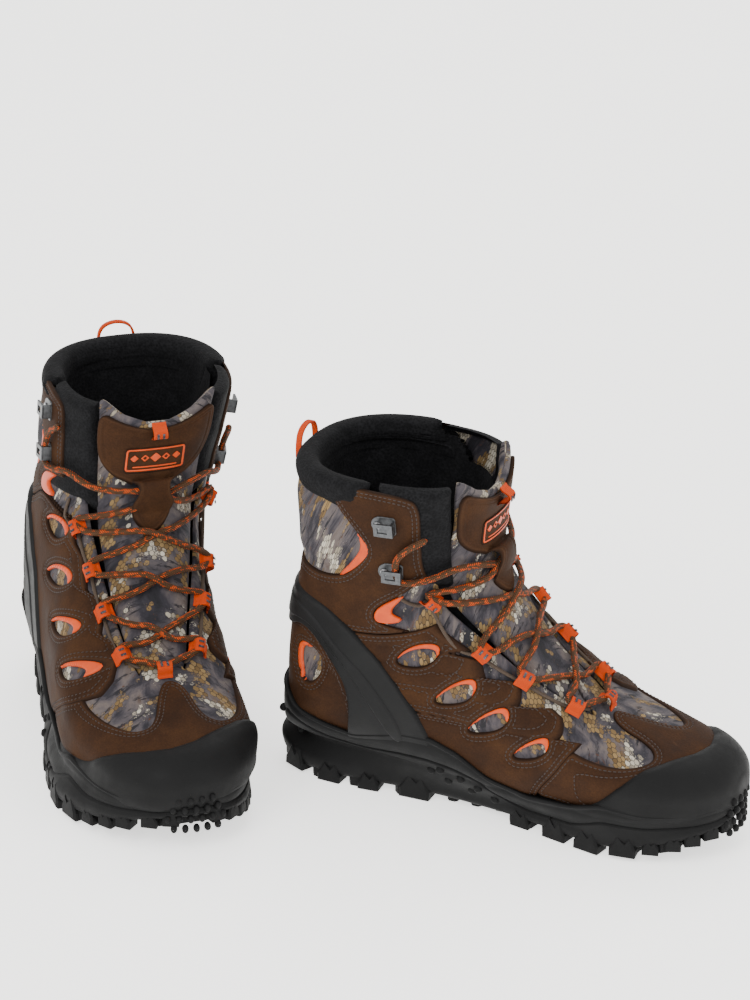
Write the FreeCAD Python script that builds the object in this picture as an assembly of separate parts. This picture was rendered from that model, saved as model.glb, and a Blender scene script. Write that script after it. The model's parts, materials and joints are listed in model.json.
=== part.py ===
import FreeCAD, Part
import math
import os

from FreeCAD import Rotation, Vector

# A pair of 8-inch insulated hunting boots.  Each boot is drawn once, as the right boot, in its own
# frame: x runs forward from the back of the heel, y towards the inner (medial) side, z up from the
# ground.  The left boot is its mirror image.  All sizes are millimetres.

# ---- where each boot stands: yaw of the toes and place of the back of the heel ----
RIGHT_YAW = -74.4
RIGHT_HEEL = (-199.0, -231.0)
LEFT_YAW = -24.4
LEFT_HEEL = (-53.0, -384.0)

# ---- upper: sections from toe to collar ----
LEAN = 0.11          # the shaft leans inwards by this much for each millimetre of height
COLLAR_TOP = 227.0   # height of the leather collar
TONGUE_TOP = 235.5
# near (x, z) on the ridge, far (x, z) on the sole or heel, inner and outer half widths,
# roundness near and far (2 is an ellipse, 5 nearly a box)
SECTIONS = [
    ((302, 43), (302, 37), 6, 6, 2.3, 3.0),
    ((298, 49), (298, 32), 18, 18, 2.3, 3.5),
    ((289, 55), (289, 29), 30, 30, 2.3, 4.0),
    ((272, 60), (272, 27), 43, 42, 2.3, 4.5),
    ((250, 66), (250, 25), 50, 50, 2.3, 5.0),
    ((228, 73), (228, 24), 51, 56, 2.3, 5.0),
    ((205, 87), (205, 23), 49, 58, 2.3, 5.0),
    ((174.5, 114), (152, 25), 46, 56, 2.2, 4.4),
    ((157.5, 147), (95, 28), 44, 54, 2.1, 3.8),
    ((151, 166.5), (43, 29), 45, 54, 2.15, 3.4),
    ((149, 179), (11, 38), 47, 55, 2.25, 3.0),
    ((148.5, 188.5), (12, 74), 49, 55, 2.35, 2.7),
    ((149.5, 200), (17, 114), 50, 56, 2.4, 2.55),
    ((151, 212), (26, 156), 52, 56, 2.5, 2.5),
    ((152.5, 223), (28, 192), 54, 57, 2.5, 2.5),
    ((155, 236), (28, 236), 56, 57, 2.6, 2.4),
]
HALF_POINTS = 16     # points from the ridge to the sole, on each side
STEPS_PER_SECTION = 2
LEAST_HALF = 1.5      # the inner layers close to this small end at the toe

# ---- layers, as offsets from the skin of the upper ----
TEXTILE = (-2.6, -0.15)
STIFFENER = (-4.6, -2.8)
INSULATION = (-10.0, -4.8)
FOOT_SPACE = -10.3
LEATHER = (0.15, 2.0)
RUBBER_CAP = (0.3, 4.6)
STRAP = (2.3, 6.0)
TONGUE_PAD = (-6.5, -0.3)
PATCH = (0.0, 1.8)
TRIM = (0.1, 2.9)
MIDSOLE_GAP = 2.3
MIDSOLE_WRAP = 5.6    # the midsole's side wall climbs the upper this far out

# ---- sole ----
SOLE_OUTLINE = [
    (306, 8), (301, 28), (286, 42), (262, 51), (235, 54), (205, 48), (170, 40), (130, 35),
    (95, 34), (60, 36), (30, 34), (8, 24), (-2, 4), (6, -22), (28, -36), (60, -42),
    (95, -46), (130, -51), (165, -58), (200, -62), (232, -62), (262, -52), (286, -35), (301, -12),
]
HEEL_BEVEL = 7.0     # rise of the tread at the back of the heel, from x = 30 back
TOE_SPRING = 18.0    # rise of the tread at x = 305, from the ball at x = 215
LUG_HEIGHT = 6.0
RUBBER_TOP = 11.0
# the top edge of the black midsole, seen from the side
MIDSOLE_EDGE = [
    (-12, 60), (8, 62), (30, 52), (64, 44), (99, 54), (120, 55), (140, 48), (160, 34), (185, 28),
    (213, 31), (235, 42), (262, 44), (330, 46),
]
# everything below the midsole's edge, with a small gap
MIDSOLE_EDGE_CLEAR = [(x, z + 0.4) for x, z in MIDSOLE_EDGE] + [(330, -20), (-12, -20)]
SHANK = (112.0, 22.0, 1.6)           # length, width, thickness
SHANK_CORNER = (60.0, -12.0, 16.0)
# the floor of the foot space, seen from the side
FLOOR = [(0, 40.5), (60, 40), (120, 37), (215, 36.5), (250, 38), (290, 41), (310, 43)]

# ---- openings and panels, seen from the side as (x, z) ----
WINDOWS = [
    [(96, 104), (110, 119), (125, 122), (124, 113), (112, 104)],
    [(120.5, 79), (134, 95.5), (147.5, 102.5), (149.5, 96), (141.5, 85)],
    [(143, 64), (155, 79), (168, 87), (172, 81), (163, 70)],
    [(174, 54), (184, 66), (196, 73), (198, 66), (188, 57)],
]
# on the outer side the same features sit higher
OUTER_WINDOWS = [
    [(98, 138), (107, 144), (119, 144.5), (127, 139), (112, 129.5)],
    [(108, 106), (123, 116), (141, 120), (149, 115.5), (133, 106.5)],
    [(137, 85), (153, 93), (171, 97.5), (176.5, 93), (160, 84.5)],
    [(179, 71), (190, 78.5), (203, 82), (208, 77.5), (194, 70)],
]
REAR_WINDOW = [(33, 104), (46, 106), (50, 97), (40, 80), (30, 76)]
ANKLE_WINDOW = [(50, 168), (62, 204), (80, 201), (88, 190), (84, 178), (70, 163)]
CRESCENT = [(86, 134), (92, 147), (109, 155), (101, 145), (106, 137)]
OUTER_CRESCENT = [(92, 158), (97, 167), (112, 174), (106, 165), (110, 160)]
LOWER_QUARTER = [
    (34, 20), (34, 70), (44, 78), (52, 100), (49, 124), (78, 123.5), (102, 126), (121, 133),
    (138, 142), (150, 150), (207, 96), (205, 20),
]
ANKLE_PANEL = [
    (24, 128), (60, 126.5), (80, 125.5), (102, 128), (121, 135), (150, 152), (150, 240),
    (14, 240), (14, 210), (44, 206), (38, 160),
]
OUTER_QUARTER = [
    (34, 20), (34, 70), (44, 78), (52, 100), (49, 134), (70, 143), (90, 156), (108, 152), (124, 147),
    (138, 149), (150, 152), (214, 92), (217, 80), (214, 64), (205, 58), (205, 20),
]
OUTER_ANKLE_PANEL = [
    (24, 128), (46, 128), (49, 137), (70, 146), (90, 159), (108, 155), (124, 150), (138, 152), (150, 154),
    (150, 240), (14, 240), (14, 210), (44, 206), (38, 160),
]
# what the outer quarter takes from the toe leather
OUTER_QUARTER_FRONT = [(200, 56), (206, 56), (216, 62.5), (219.5, 80), (216, 94), (200, 104)]
HEEL_PANEL = [(-10, 20), (-10, 122), (46, 122), (49, 100), (41, 79), (32, 71), (32, 20)]
STRAP_OUTLINE = [
    (10, 142), (49, 144), (67, 133), (84, 112), (98, 88), (124, 52), (62, 40), (66, 72), (53, 108), (10, 112),
]
COLLAR_PAD = [(-10, 207), (42, 203), (35, 160), (23, 130), (-10, 130)]
TOE_CAP_BACK = [(232, 20), (240, 44), (262, 60), (284, 80), (330, 80), (330, 20)]
TOE_LEATHER_FRONT = [(231, 20), (239, 44), (261, 60), (283, 80), (209, 110), (207, 20)]
# vamp windows seen from above as (x, y), either side of the leather peak
VAMP_WINDOWS = [
    [(214, 47), (218, 27), (236, 23), (253, 28), (249, 42), (232, 50)],
    [(222, -31), (216, -12), (232, -6), (250, -10), (251, -22), (240, -33)],
]

# ---- throat: half width of the gap that the tongue fills, by height ----
THROAT = [(79, 15), (86, 20), (108, 27), (127, 32), (146, 36), (178, 41), (210, 46), (240, 50)]
THROAT_BACK = 114.0
TONGUE_CLEARANCE = 1.6
HINGE = (153.5, 157.0)          # the fold of the tongue, on its front face
HINGE_SLOPE = math.radians(27)

# ---- lacing ----
LACE_DIAMETER = 4.2
LACE_LIFT = 3.4                 # centre of the lace above the skin, where it lies on the tongue
LOOP_LIFT = 7.0                 # and where it goes through a loop
CROSSING_LIFT = 4.8             # how much higher the upper strand runs where two cross
LOOP_REACH = 5.0                # half the straight stretch of lace inside a loop
KEEPER_LIFT = 6.9               # where it crosses the middle of the tongue
# the lace's way round the lower hook: ahead of it, above it, out of the skin
HOOK_ROUTE = [
    (25, -4, 6.6), (12, -8, 6.0), (3.4, -7, 5.7), (2.4, 2, 5.7), (4, 10, 6.0), (11, 19, 6.6), (22, 26, 6.6),
]
LOOP_ROWS = [(207, 86, 23), (183, 108, 30), (162, 127, 35), (140, 147, 40)]
CENTRE_LOOP = (219, 79)
HOOKS = {1: [(101, 173), (100, 207)], -1: [(101, 186), (100, 215)]}     # inner side, outer side
HOOK_SEAT = 2.3                 # the hooks' plates lie this far out of the skin
LOOP_SEAT = 3.5                 # and the loops' feet this far

# ---- tabs ----
TONGUE_LOOP = (153.0, 213.5)
HEEL_TAB = (25.2, 220.0)
TAB_THICKNESS = 2.4


def skin_point(section, angle, offset):
    """A point of the upper, offset outwards.  Angle 0 is the ridge, pi the sole or the heel."""
    near, far, inner, outer, round_near, round_far = section
    along = Vector(far[0] - near[0], 0, far[1] - near[1])
    half = max(along.Length / 2.0 + offset, LEAST_HALF)
    along.normalize()
    middle = Vector((near[0] + far[0]) / 2.0, 0, (near[1] + far[1]) / 2.0)
    cosine = math.cos(angle)
    sine = math.sin(angle)
    power = round_near if cosine >= 0 else round_far
    reach = (abs(cosine) ** power + abs(sine) ** power) ** (1.0 / power)
    width = max((inner if sine >= 0 else outer) + offset, LEAST_HALF)
    point = middle - along * (cosine / reach * half)
    point.y = sine / reach * width
    # the front sections also move forward, so that the toe grows as thick as the sides
    if near[0] > 228 and near[0] == far[0]:
        point.x += offset * (near[0] - 228) / 74.0
    point.y += LEAN * point.z
    return point


def closed_curve(points):
    curve = Part.BSplineCurve()
    curve.interpolate(Points=points, PeriodicFlag=True)
    return Part.Wire([curve.toShape()])


def polygon(points):
    return Part.makePolygon(points + points[:1])


def smooth_value(values, place):
    """A curve through evenly spaced values that never overshoots them."""
    index = min(int(place), len(values) - 2)
    share = place - index

    def slope(k):
        if k == 0 or k == len(values) - 1:
            return values[min(k + 1, len(values) - 1)] - values[max(k - 1, 0)]
        before, after = values[k] - values[k - 1], values[k + 1] - values[k]
        return 2 * before * after / (before + after) if before * after > 0 else 0.0

    start, end = values[index], values[index + 1]
    rise_in, rise_out = slope(index), slope(index + 1)
    square, cube = share ** 2, share ** 3
    return (
        (2 * cube - 3 * square + 1) * start + (cube - 2 * square + share) * rise_in
        + (3 * square - 2 * cube) * end + (cube - square) * rise_out
    )


SECTION_COLUMNS = list(zip(*[(n[0], n[1], f[0], f[1], a, b, c, d) for n, f, a, b, c, d in SECTIONS]))


def section_at(place):
    """The section at a fractional place along SECTIONS."""
    value = [smooth_value(column, place) for column in SECTION_COLUMNS]
    return ((value[0], value[1]), (value[2], value[3])) + tuple(value[4:])


SKINS = {}


def skin(offset):
    """The solid inside the upper's skin at this offset, from toe to collar."""
    if offset not in SKINS:
        grid = []
        for step in range((len(SECTIONS) - 1) * STEPS_PER_SECTION + 1):
            section = section_at(step / STEPS_PER_SECTION)
            angles = [math.pi * k / HALF_POINTS for k in range(-HALF_POINTS, HALF_POINTS + 1)]
            grid.append([skin_point(section, angle, offset) for angle in angles])
        surface = Part.BSplineSurface()
        surface.interpolate(grid)
        side = surface.toShape()
        rims = [Part.Wire([edge]) for edge in side.Edges]
        caps = [Part.Face(rim) for rim in rims if rim.isClosed()]
        shell = Part.makeCompound([side] + caps)
        shell.sewShape(0.001)
        SKINS[offset] = Part.Solid(shell.Shells[0])
    return SKINS[offset]


def layer(offsets, block):
    """The sheet between two offsets, as far as it lies inside the block."""
    low, high = offsets
    return skin(high).common(block).cut(skin(low))


def side_block(outline, low=-120.0, high=120.0, smooth=False):
    """The outline, seen from the side, pushed through the boot from y = low to y = high."""
    points = [Vector(x, low, z) for x, z in outline]
    wire = closed_curve(points) if smooth else polygon(points)
    return Part.Face(wire).extrude(Vector(0, high - low, 0))


def plan_block(outline, low, high, smooth=True):
    points = [Vector(x, y, low) for x, y in outline]
    wire = closed_curve(points) if smooth else polygon(points)
    return Part.Face(wire).extrude(Vector(0, 0, high - low))


def inner_side(outline, smooth=False):
    return side_block(outline, 14.0, 120.0, smooth)


def outer_side(outline, smooth=False):
    return side_block(outline, -120.0, 13.6, smooth)


def throat_block(inset=0.0):
    """The gap between the facings, seen from the front."""
    right = [(LEAN * z + half - inset, z) for z, half in THROAT]
    left = [(LEAN * z - half + inset, z) for z, half in reversed(THROAT)]
    lift = inset * 1.2
    outline = [(y, z + (lift if z == THROAT[0][0] else 0)) for y, z in right + left]
    back = THROAT_BACK + inset
    points = [Vector(back, y, z) for y, z in outline]
    return Part.Face(polygon(points)).extrude(Vector(230, 0, 0))


def below(height):
    return Part.makeBox(400, 300, height + 50, Vector(-50, -150, -50))


def tread_rise(x):
    """Height of the tread above the ground."""
    if x > 215:
        return TOE_SPRING * ((x - 215) / 90.0) ** 2
    if x < 30:
        return HEEL_BEVEL * ((30 - x) / 30.0) ** 2
    return 0.0


def rocker_block(low, high):
    """The space between two heights above the tread line, all across the boot."""
    stations = [-14, -2, 8, 18, 30, 120, 215, 235, 255, 275, 295, 316]
    lower = [(x, tread_rise(x) + low) for x in stations]
    upper = [(x, tread_rise(x) + high) for x in reversed(stations)]
    return side_block(lower + upper)


def inset_outline(amount):
    """The sole's outline moved inwards."""
    points = []
    count = len(SOLE_OUTLINE)
    for k in range(count):
        ahead = SOLE_OUTLINE[(k + 1) % count]
        behind = SOLE_OUTLINE[k - 1]
        dx, dy = ahead[0] - behind[0], ahead[1] - behind[1]
        length = math.hypot(dx, dy)
        x, y = SOLE_OUTLINE[k]
        points.append((x - amount * dy / length, y + amount * dx / length))
    return points


# ---- sole unit ----

def lug(x, y, length, width, turn=0.0):
    """One tread block: a hexagon with chamfered ends."""
    half, wide = length / 2.0, width / 2.0
    corner = min(half, wide) * 0.45
    outline = [
        (-half, -wide + corner), (-half + corner, -wide), (half - corner, -wide), (half, -wide + corner),
        (half, wide - corner), (half - corner, wide), (-half + corner, wide), (-half, wide - corner),
    ]
    block = plan_block(outline, -1.0, RUBBER_TOP + TOE_SPRING, smooth=False)
    block.rotate(Vector(0, 0, 0), Vector(0, 0, 1), turn)
    block.translate(Vector(x, y, 0))
    return block


def sole_edge(x, side):
    """Distance of the sole's edge from the x axis, on the inner (+1) or outer (-1) side."""
    edge = [p for p in SOLE_OUTLINE if p[1] * side > 0]
    edge.sort()
    for (xa, ya), (xb, yb) in zip(edge, edge[1:]):
        if xa <= x <= xb:
            return ya + (yb - ya) * (x - xa) / (xb - xa)
    return edge[0][1] if x < edge[0][0] else edge[-1][1]


def outsole():
    plate = plan_block(inset_outline(3.0), -2.0, 60.0).common(rocker_block(LUG_HEIGHT, RUBBER_TOP))
    lugs = []
    for x in (14, 38, 64, 176, 200, 224, 248, 272):
        for side in (1, -1):
            edge = sole_edge(x, side)
            lugs.append(lug(x, edge - side * 9.0, 17.0, 20.0, side * 14.0))
    for side in (1, -1):
        lugs.append(lug(98, sole_edge(98, side) - side * 9.0, 24.0, 20.0))
    for x in (188, 212, 236, 260):
        for y in (-14.0, 12.0):
            lugs.append(lug(x, y - 2.0, 14.0, 18.0, 45.0 if y > 0 else -45.0))
    for x in (28, 54):
        lugs.append(lug(x, -2.0, 14.0, 24.0))
    lugs.append(lug(291, 2.0, 13.0, 34.0))
    for y in (-9.0, -27.0, 11.0, 25.0):
        for x in (124, 140, 156):
            lugs.append(lug(x, y, 7.0, 7.0))
    tread = Part.makeCompound(lugs).common(plan_block(inset_outline(0.6), -2.0, 60.0))
    tread = tread.common(rocker_block(0.0, LUG_HEIGHT + 1.0))
    whole = plate
    for solid in tread.Solids:
        whole = whole.fuse(solid)
    return whole.removeSplitter()


def midsole():
    """The cushioning unit: it cups the upper and rises at the arch, the heel and the toe."""
    edge = MIDSOLE_EDGE + [(330, -20), (-12, -20)]
    space = rocker_block(RUBBER_TOP + 0.1, 80.0).common(side_block(edge))
    slab = plan_block(inset_outline(0.0), 0.0, 90.0).common(space)
    cup = skin(MIDSOLE_WRAP).common(space)
    body = slab.fuse(cup).cut(skin(MIDSOLE_GAP))
    body = body.cut(shank_bar(0.3))
    return max(body.Solids, key=lambda solid: solid.Volume)


def shank_bar(clearance=0.0):
    corner = Vector(*SHANK_CORNER) - Vector(clearance, clearance, clearance)
    return Part.makeBox(*(size + 2 * clearance for size in SHANK), corner)


def insole_layer(low, high):
    """A flat layer on the floor of the foot space, following the rise of the toe."""
    lower = [(x, z + low) for x, z in FLOOR]
    upper = [(x, z + high) for x, z in reversed(FLOOR)]
    return skin(FOOT_SPACE - 0.3).common(side_block(lower + upper))


# ---- upper ----

def textile_upper():
    return layer(TEXTILE, below(COLLAR_TOP).cut(throat_block()))


def lining():
    return layer(INSULATION, below(COLLAR_TOP + 1.5).cut(throat_block()))


def heel_counter():
    return layer(STIFFENER, side_block([(-20, 20), (76, 20), (60, 92), (-20, 104)]))


def toe_puff():
    return layer(STIFFENER, side_block([(262, 15), (270, 90), (330, 90), (330, 15)]))


def quarter(block, panel, windows):
    space = block(panel).cut(throat_block(-3.0))
    for outline in windows:
        space = space.cut(block(outline, smooth=True))
    return layer(LEATHER, space)


def ankle_panel(block, panel, crescent):
    space = block(panel).common(below(COLLAR_TOP - 1.0)).cut(throat_block(-3.0))
    space = space.cut(block(ANKLE_WINDOW, smooth=True)).cut(block(crescent, smooth=True))
    return layer(LEATHER, space)


def heel_leather():
    return layer(LEATHER, side_block(HEEL_PANEL).cut(side_block(REAR_WINDOW, smooth=True)))


def toe_leather():
    space = side_block(TOE_LEATHER_FRONT).cut(throat_block(-3.0)).cut(outer_side(OUTER_QUARTER_FRONT))
    for outline in VAMP_WINDOWS:
        space = space.cut(plan_block(outline, 50, 120))
    return layer(LEATHER, space)


def toe_cap():
    return layer(RUBBER_CAP, side_block(TOE_CAP_BACK).cut(side_block(MIDSOLE_EDGE_CLEAR)))



def heel_strap():
    return layer(STRAP, side_block(STRAP_OUTLINE).cut(side_block(MIDSOLE_EDGE_CLEAR)))


def collar_pad():
    return layer(LEATHER, side_block(COLLAR_PAD).common(below(COLLAR_TOP - 1.0)))


def scaled(outline, share, drop=0.0):
    """The outline made larger or smaller about its middle, and lowered."""
    middle_x = sum(x for x, z in outline) / len(outline)
    middle_z = sum(z for x, z in outline) / len(outline)
    return [(middle_x + share * (x - middle_x), middle_z - drop + share * (z - middle_z)) for x, z in outline]


def window_trims():
    """The bright edging set in the upper and front edge of each opening."""
    trims = []
    sides = ((inner_side, WINDOWS + [CRESCENT]), (outer_side, OUTER_WINDOWS + [OUTER_CRESCENT]))
    for block, outlines in sides:
        for outline in outlines:
            rim = block(scaled(outline, 0.94), smooth=True).common(block(outline, smooth=True))
            ring = rim.cut(block(scaled(outline, 0.72, 1.2), smooth=True))
            trims.append(layer(TRIM, ring))
    return Part.makeCompound([solid for trim in trims for solid in trim.Solids])


# ---- tongue ----

def fold_block(gap):
    """Everything above the tongue's fold, less a gap."""
    up = Vector(-math.sin(HINGE_SLOPE), 0, math.cos(HINGE_SLOPE))
    block = Part.makeBox(300, 240, 200, Vector(-150, -120, 0))
    block.rotate(Vector(0, 0, 0), Vector(0, 1, 0), -math.degrees(HINGE_SLOPE))
    start = Vector(HINGE[0], 0, HINGE[1]) + up * gap
    block.translate(start)
    return block


def tongue_space():
    return throat_block(TONGUE_CLEARANCE).common(below(TONGUE_TOP))


def tongue_base():
    return layer(TONGUE_PAD, tongue_space().cut(fold_block(-0.6)))


def tongue():
    return layer(TONGUE_PAD, tongue_space().common(fold_block(0.6)))


def front_block(outline, smooth=False):
    """The outline, seen from the front as (distance from the lean line, z), pushed forward."""
    points = [Vector(THROAT_BACK + 6, y + LEAN * z, z) for y, z in outline]
    wire = closed_curve(points) if smooth else polygon(points)
    return Part.Face(wire).extrude(Vector(120, 0, 0))


def tongue_patch():
    outline = [
        (-37, 229), (37, 229), (38, 200), (30, 178), (14, 165), (7, 161),
        (-7, 161), (-14, 165), (-30, 178), (-38, 200),
    ]
    return layer(PATCH, front_block(outline))


def tongue_label():
    outline = [(-19, 202), (19, 202), (19, 184), (-19, 184)]
    return layer((1.9, 3.0), front_block(outline))


def local_frame(base, along, out):
    """A placement whose x runs along, and whose z points out as nearly as it can."""
    across = out.cross(along).normalize()
    return FreeCAD.Placement(base, Rotation(along, across, along.cross(across), "XYZ"))


def webbing_loop(base, along, out, width, length, height, wall=1.2):
    """A folded tab of webbing: a flat sleeve whose opening runs along one direction."""
    corner = Vector(-length / 2.0, -width / 2.0, 0)
    outer_box = Part.makeBox(length, width, height, corner)
    hollow = Part.makeBox(length + 4, width - 2 * wall, height - 2 * wall, corner + Vector(-2, wall, wall))
    sleeve = outer_box.cut(hollow)
    sleeve.Placement = local_frame(base, along, out)
    return sleeve


def pull_loop(base, up, out):
    """A pull tab of webbing standing on its edge, open from side to side."""
    outline = [(-13, 0), (-11, 12), (-5, 19), (5, 19), (11, 12), (13, 0)]
    opening = [(-10.5, 2), (-9, 11), (-4, 16.6), (4, 16.6), (9, 11), (10.5, 2)]
    across = Vector(0, 1, 0)
    corners = [[base + across * a + up * b for a, b in points] for points in (outline, opening)]
    whole, hole = (Part.Face(polygon(points)) for points in corners)
    return whole.cut(hole).extrude(out * TAB_THICKNESS)


# ---- lacing ----

def nearest_spot(x, z, side, short):
    """The (place, angle) of the skin nearest (x, z), where a point stops being short of the goal."""
    best = None
    for step in range(60, 300):
        section = section_at(step / 20.0)
        low, high = 0.0, side * math.pi / 2.0
        for halving in range(18):
            angle = (low + high) / 2.0
            point = skin_point(section, angle, 0.0)
            if short(point):
                low = angle
            else:
                high = angle
        gap = math.hypot(point.x - x, point.z - z)
        if best is None or gap < best[0]:
            best = (gap, (step / 20.0, angle))
    return best[1]


def front_spot(x, z, y):
    """The place on the skin nearest (x, z), at the distance y from the lean line."""
    return nearest_spot(x, z, 1 if y >= 0 else -1, lambda point: abs(point.y - LEAN * point.z) < abs(y))


def side_spot(x, z, side):
    """The place on the inner (1) or outer (-1) side whose side view is (x, z)."""
    return nearest_spot(x, z, side, lambda point: point.x > x)


def raised(spot, lift):
    place, angle = spot
    return skin_point(section_at(place), angle, lift)


def skin_at(x, z, y, lift):
    return raised(front_spot(x, z, y), lift)


def outward(spot):
    """The direction that stands square on the skin."""
    place, angle = spot
    round_it = raised((place, angle + 0.02), 0.0) - raised((place, angle - 0.02), 0.0)
    up_it = raised((place + 0.1, angle), 0.0) - raised((place - 0.1, angle), 0.0)
    return round_it.cross(up_it).normalize()


def cord(points, diameter):
    """A round tube of straight runs joined by tangent arcs."""
    edges = []
    radii = []
    start = points[0]
    for before, corner, after in zip(points, points[1:], points[2:]):
        back, ahead = before - corner, after - corner
        turn = math.pi - back.getAngle(ahead)
        reach = 0.45 * min(back.Length, ahead.Length)
        radius = reach / math.tan(turn / 2.0)
        radii.append(radius)
        back.normalize()
        ahead.normalize()
        first = corner + back * reach
        last = corner + ahead * reach
        bisector = (back + ahead).normalize()
        middle = corner + bisector * (radius / math.cos(turn / 2.0) - radius)
        edges.append(Part.LineSegment(start, first).toShape())
        edges.append(Part.Arc(first, middle, last).toShape())
        start = last
    edges.append(Part.LineSegment(start, points[-1]).toShape())
    path = Part.Wire(edges)
    profile = Part.Wire([Part.makeCircle(diameter / 2.0, points[0], points[1] - points[0])])
    tube = path.makePipeShell([profile], True, True)
    expected = math.pi * diameter ** 2 / 4.0 * path.Length
    print("cord length %.0f, volume %.3f of expected, least radius %.1f" % (
        path.Length, tube.Volume / expected, min(radii)))
    return tube


def loop_place(row, side, lift):
    x, z, half = row
    return skin_at(x, z, side * half, lift)


def loop_tangent(row, side):
    """The direction of the throat's edge, upwards, at one row of loops."""
    index = LOOP_ROWS.index(row)
    ahead = loop_place(LOOP_ROWS[min(index + 1, len(LOOP_ROWS) - 1)], side, LOOP_LIFT)
    behind = loop_place(LOOP_ROWS[max(index - 1, 0)], side, LOOP_LIFT)
    return (ahead - behind).normalize()


def loop_passage(row, side):
    """Where the lace goes into and comes out of a loop."""
    centre = loop_place(row, side, LOOP_LIFT)
    along = loop_tangent(row, side) * LOOP_REACH
    return [centre - along, centre + along]


def crossing(start, end, high):
    """Points over the tongue from one facing to the other."""
    points = []
    for share in (0.3, 0.5, 0.7):
        x = start[0] + (end[0] - start[0]) * share
        z = start[1] + (end[1] - start[1]) * share
        y = start[2] + (end[2] - start[2]) * share
        ridge = 1.0 - abs(y) / 40.0
        lift = LACE_LIFT + (CROSSING_LIFT if high and share == 0.5 else 0.0)
        points.append(skin_at(x + 12.0 * ridge, z + 9.0 * ridge, y, lift))
    return points


def lower_strand(first_side):
    """From the centre loop, through the four rows of loops, crossing the tongue each time."""
    points = [skin_at(CENTRE_LOOP[0] + 1, CENTRE_LOOP[1], first_side * 1.0, LOOP_LIFT)]
    points.append(skin_at(CENTRE_LOOP[0] - 3, CENTRE_LOOP[1] + 2, first_side * 9.0, LACE_LIFT + 2))
    side = first_side
    for index, row in enumerate(LOOP_ROWS):
        points += loop_passage(row, side)
        if index < len(LOOP_ROWS) - 1:
            after = LOOP_ROWS[index + 1]
            start = (row[0], row[1], side * row[2])
            end = (after[0], after[1], -side * after[2])
            points += crossing(start, end, side > 0)
        side = -side
    return points


def upper_strand(side):
    """From the last loop, over the tongue by the keeper, round the lower hook and into the gap."""
    first, start = loop_passage(LOOP_ROWS[-1], side)
    leave = (start - first).normalize()
    points = [start + leave * 0.5]
    points.append(skin_at(150.0, 156.0, side * 22.0, LACE_LIFT + 3.0))
    points.append(skin_at(155.0, 163.0 + 3.0 * side, 0.0, KEEPER_LIFT + (CROSSING_LIFT if side > 0 else 0.0)))
    points.append(skin_at(146.0, 171.0, -side * 22.0, LACE_LIFT + 3.0))
    points.append(skin_at(137.0, 172.0, -side * 35.0, LACE_LIFT + 2.6))
    x, z = HOOKS[-side][0]
    for ahead, above, lift in HOOK_ROUTE:
        points.append(raised(side_spot(x + ahead, z + above, -side), lift))
    return points


def lace_lower():
    return Part.makeCompound([cord(lower_strand(side), LACE_DIAMETER) for side in (1, -1)])


def lace_upper():
    return Part.makeCompound([cord(upper_strand(side), LACE_DIAMETER) for side in (1, -1)])


def lace_loops():
    loops = []
    for row in LOOP_ROWS:
        for side in (1, -1):
            base = loop_place(row, side, LOOP_SEAT)
            out = outward(front_spot(row[0], row[1], side * row[2]))
            loops.append(webbing_loop(base, loop_tangent(row, side), out, 11.0, 8.0, 7.0))
    x, z = CENTRE_LOOP
    base = skin_at(x, z, 0.0, LOOP_SEAT)
    loops.append(webbing_loop(base, Vector(0, 1, 0), outward(front_spot(x, z, 0.0)), 11.0, 9.0, 7.0))
    return Part.makeCompound(loops)


def hook_frames():
    frames = []
    for side in (1, -1):
        for x, z in HOOKS[side]:
            spot = side_spot(x, z, side)
            forward = raised(side_spot(x + 4, z, side), 0.0) - raised(side_spot(x - 4, z, side), 0.0)
            frames.append(local_frame(raised(spot, HOOK_SEAT), forward.normalize(), outward(spot)))
    return frames


def hook_body():
    """A pressed steel speed hook: a flat base, a riser behind it and a folded-over slotted cover."""
    base = Part.makeBox(15, 13, 1.2, Vector(-8, -6.5, 0))
    riser = Part.makeBox(1.4, 9, 6.0, Vector(5.6, -4.5, 0))
    cover = Part.makeBox(12, 9, 1.3, Vector(-5, -4.5, 5.6))
    slot = Part.makeBox(5, 2.6, 3, Vector(-2.5, -1.3, 5))
    return base.fuse(riser).fuse(cover).cut(slot).removeSplitter()


def placed(shape, frame):
    copy = shape.copy()
    copy.Placement = frame
    return copy


def lace_hooks():
    return Part.makeCompound([placed(hook_body(), frame) for frame in hook_frames()])


def hook_rivets():
    head = Part.makeCylinder(2.6, 1.0, Vector(-4.5, 0, 1.25))
    return Part.makeCompound([placed(head, frame) for frame in hook_frames()])


def tongue_loop():
    """A webbing loop at the top of the tongue's patch, open from side to side."""
    x, z = TONGUE_LOOP
    out = outward(front_spot(x, z, 0.0))
    return webbing_loop(skin_at(x, z, 0.0, PATCH[1] + 0.1), Vector(0, 1, 0), out, 11.0, 9.0, 8.0)


def heel_loop():
    x, z = HEEL_TAB
    return pull_loop(Vector(x, LEAN * z, z), Vector(0, 0, 1), Vector(-1, 0, 0))


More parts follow.
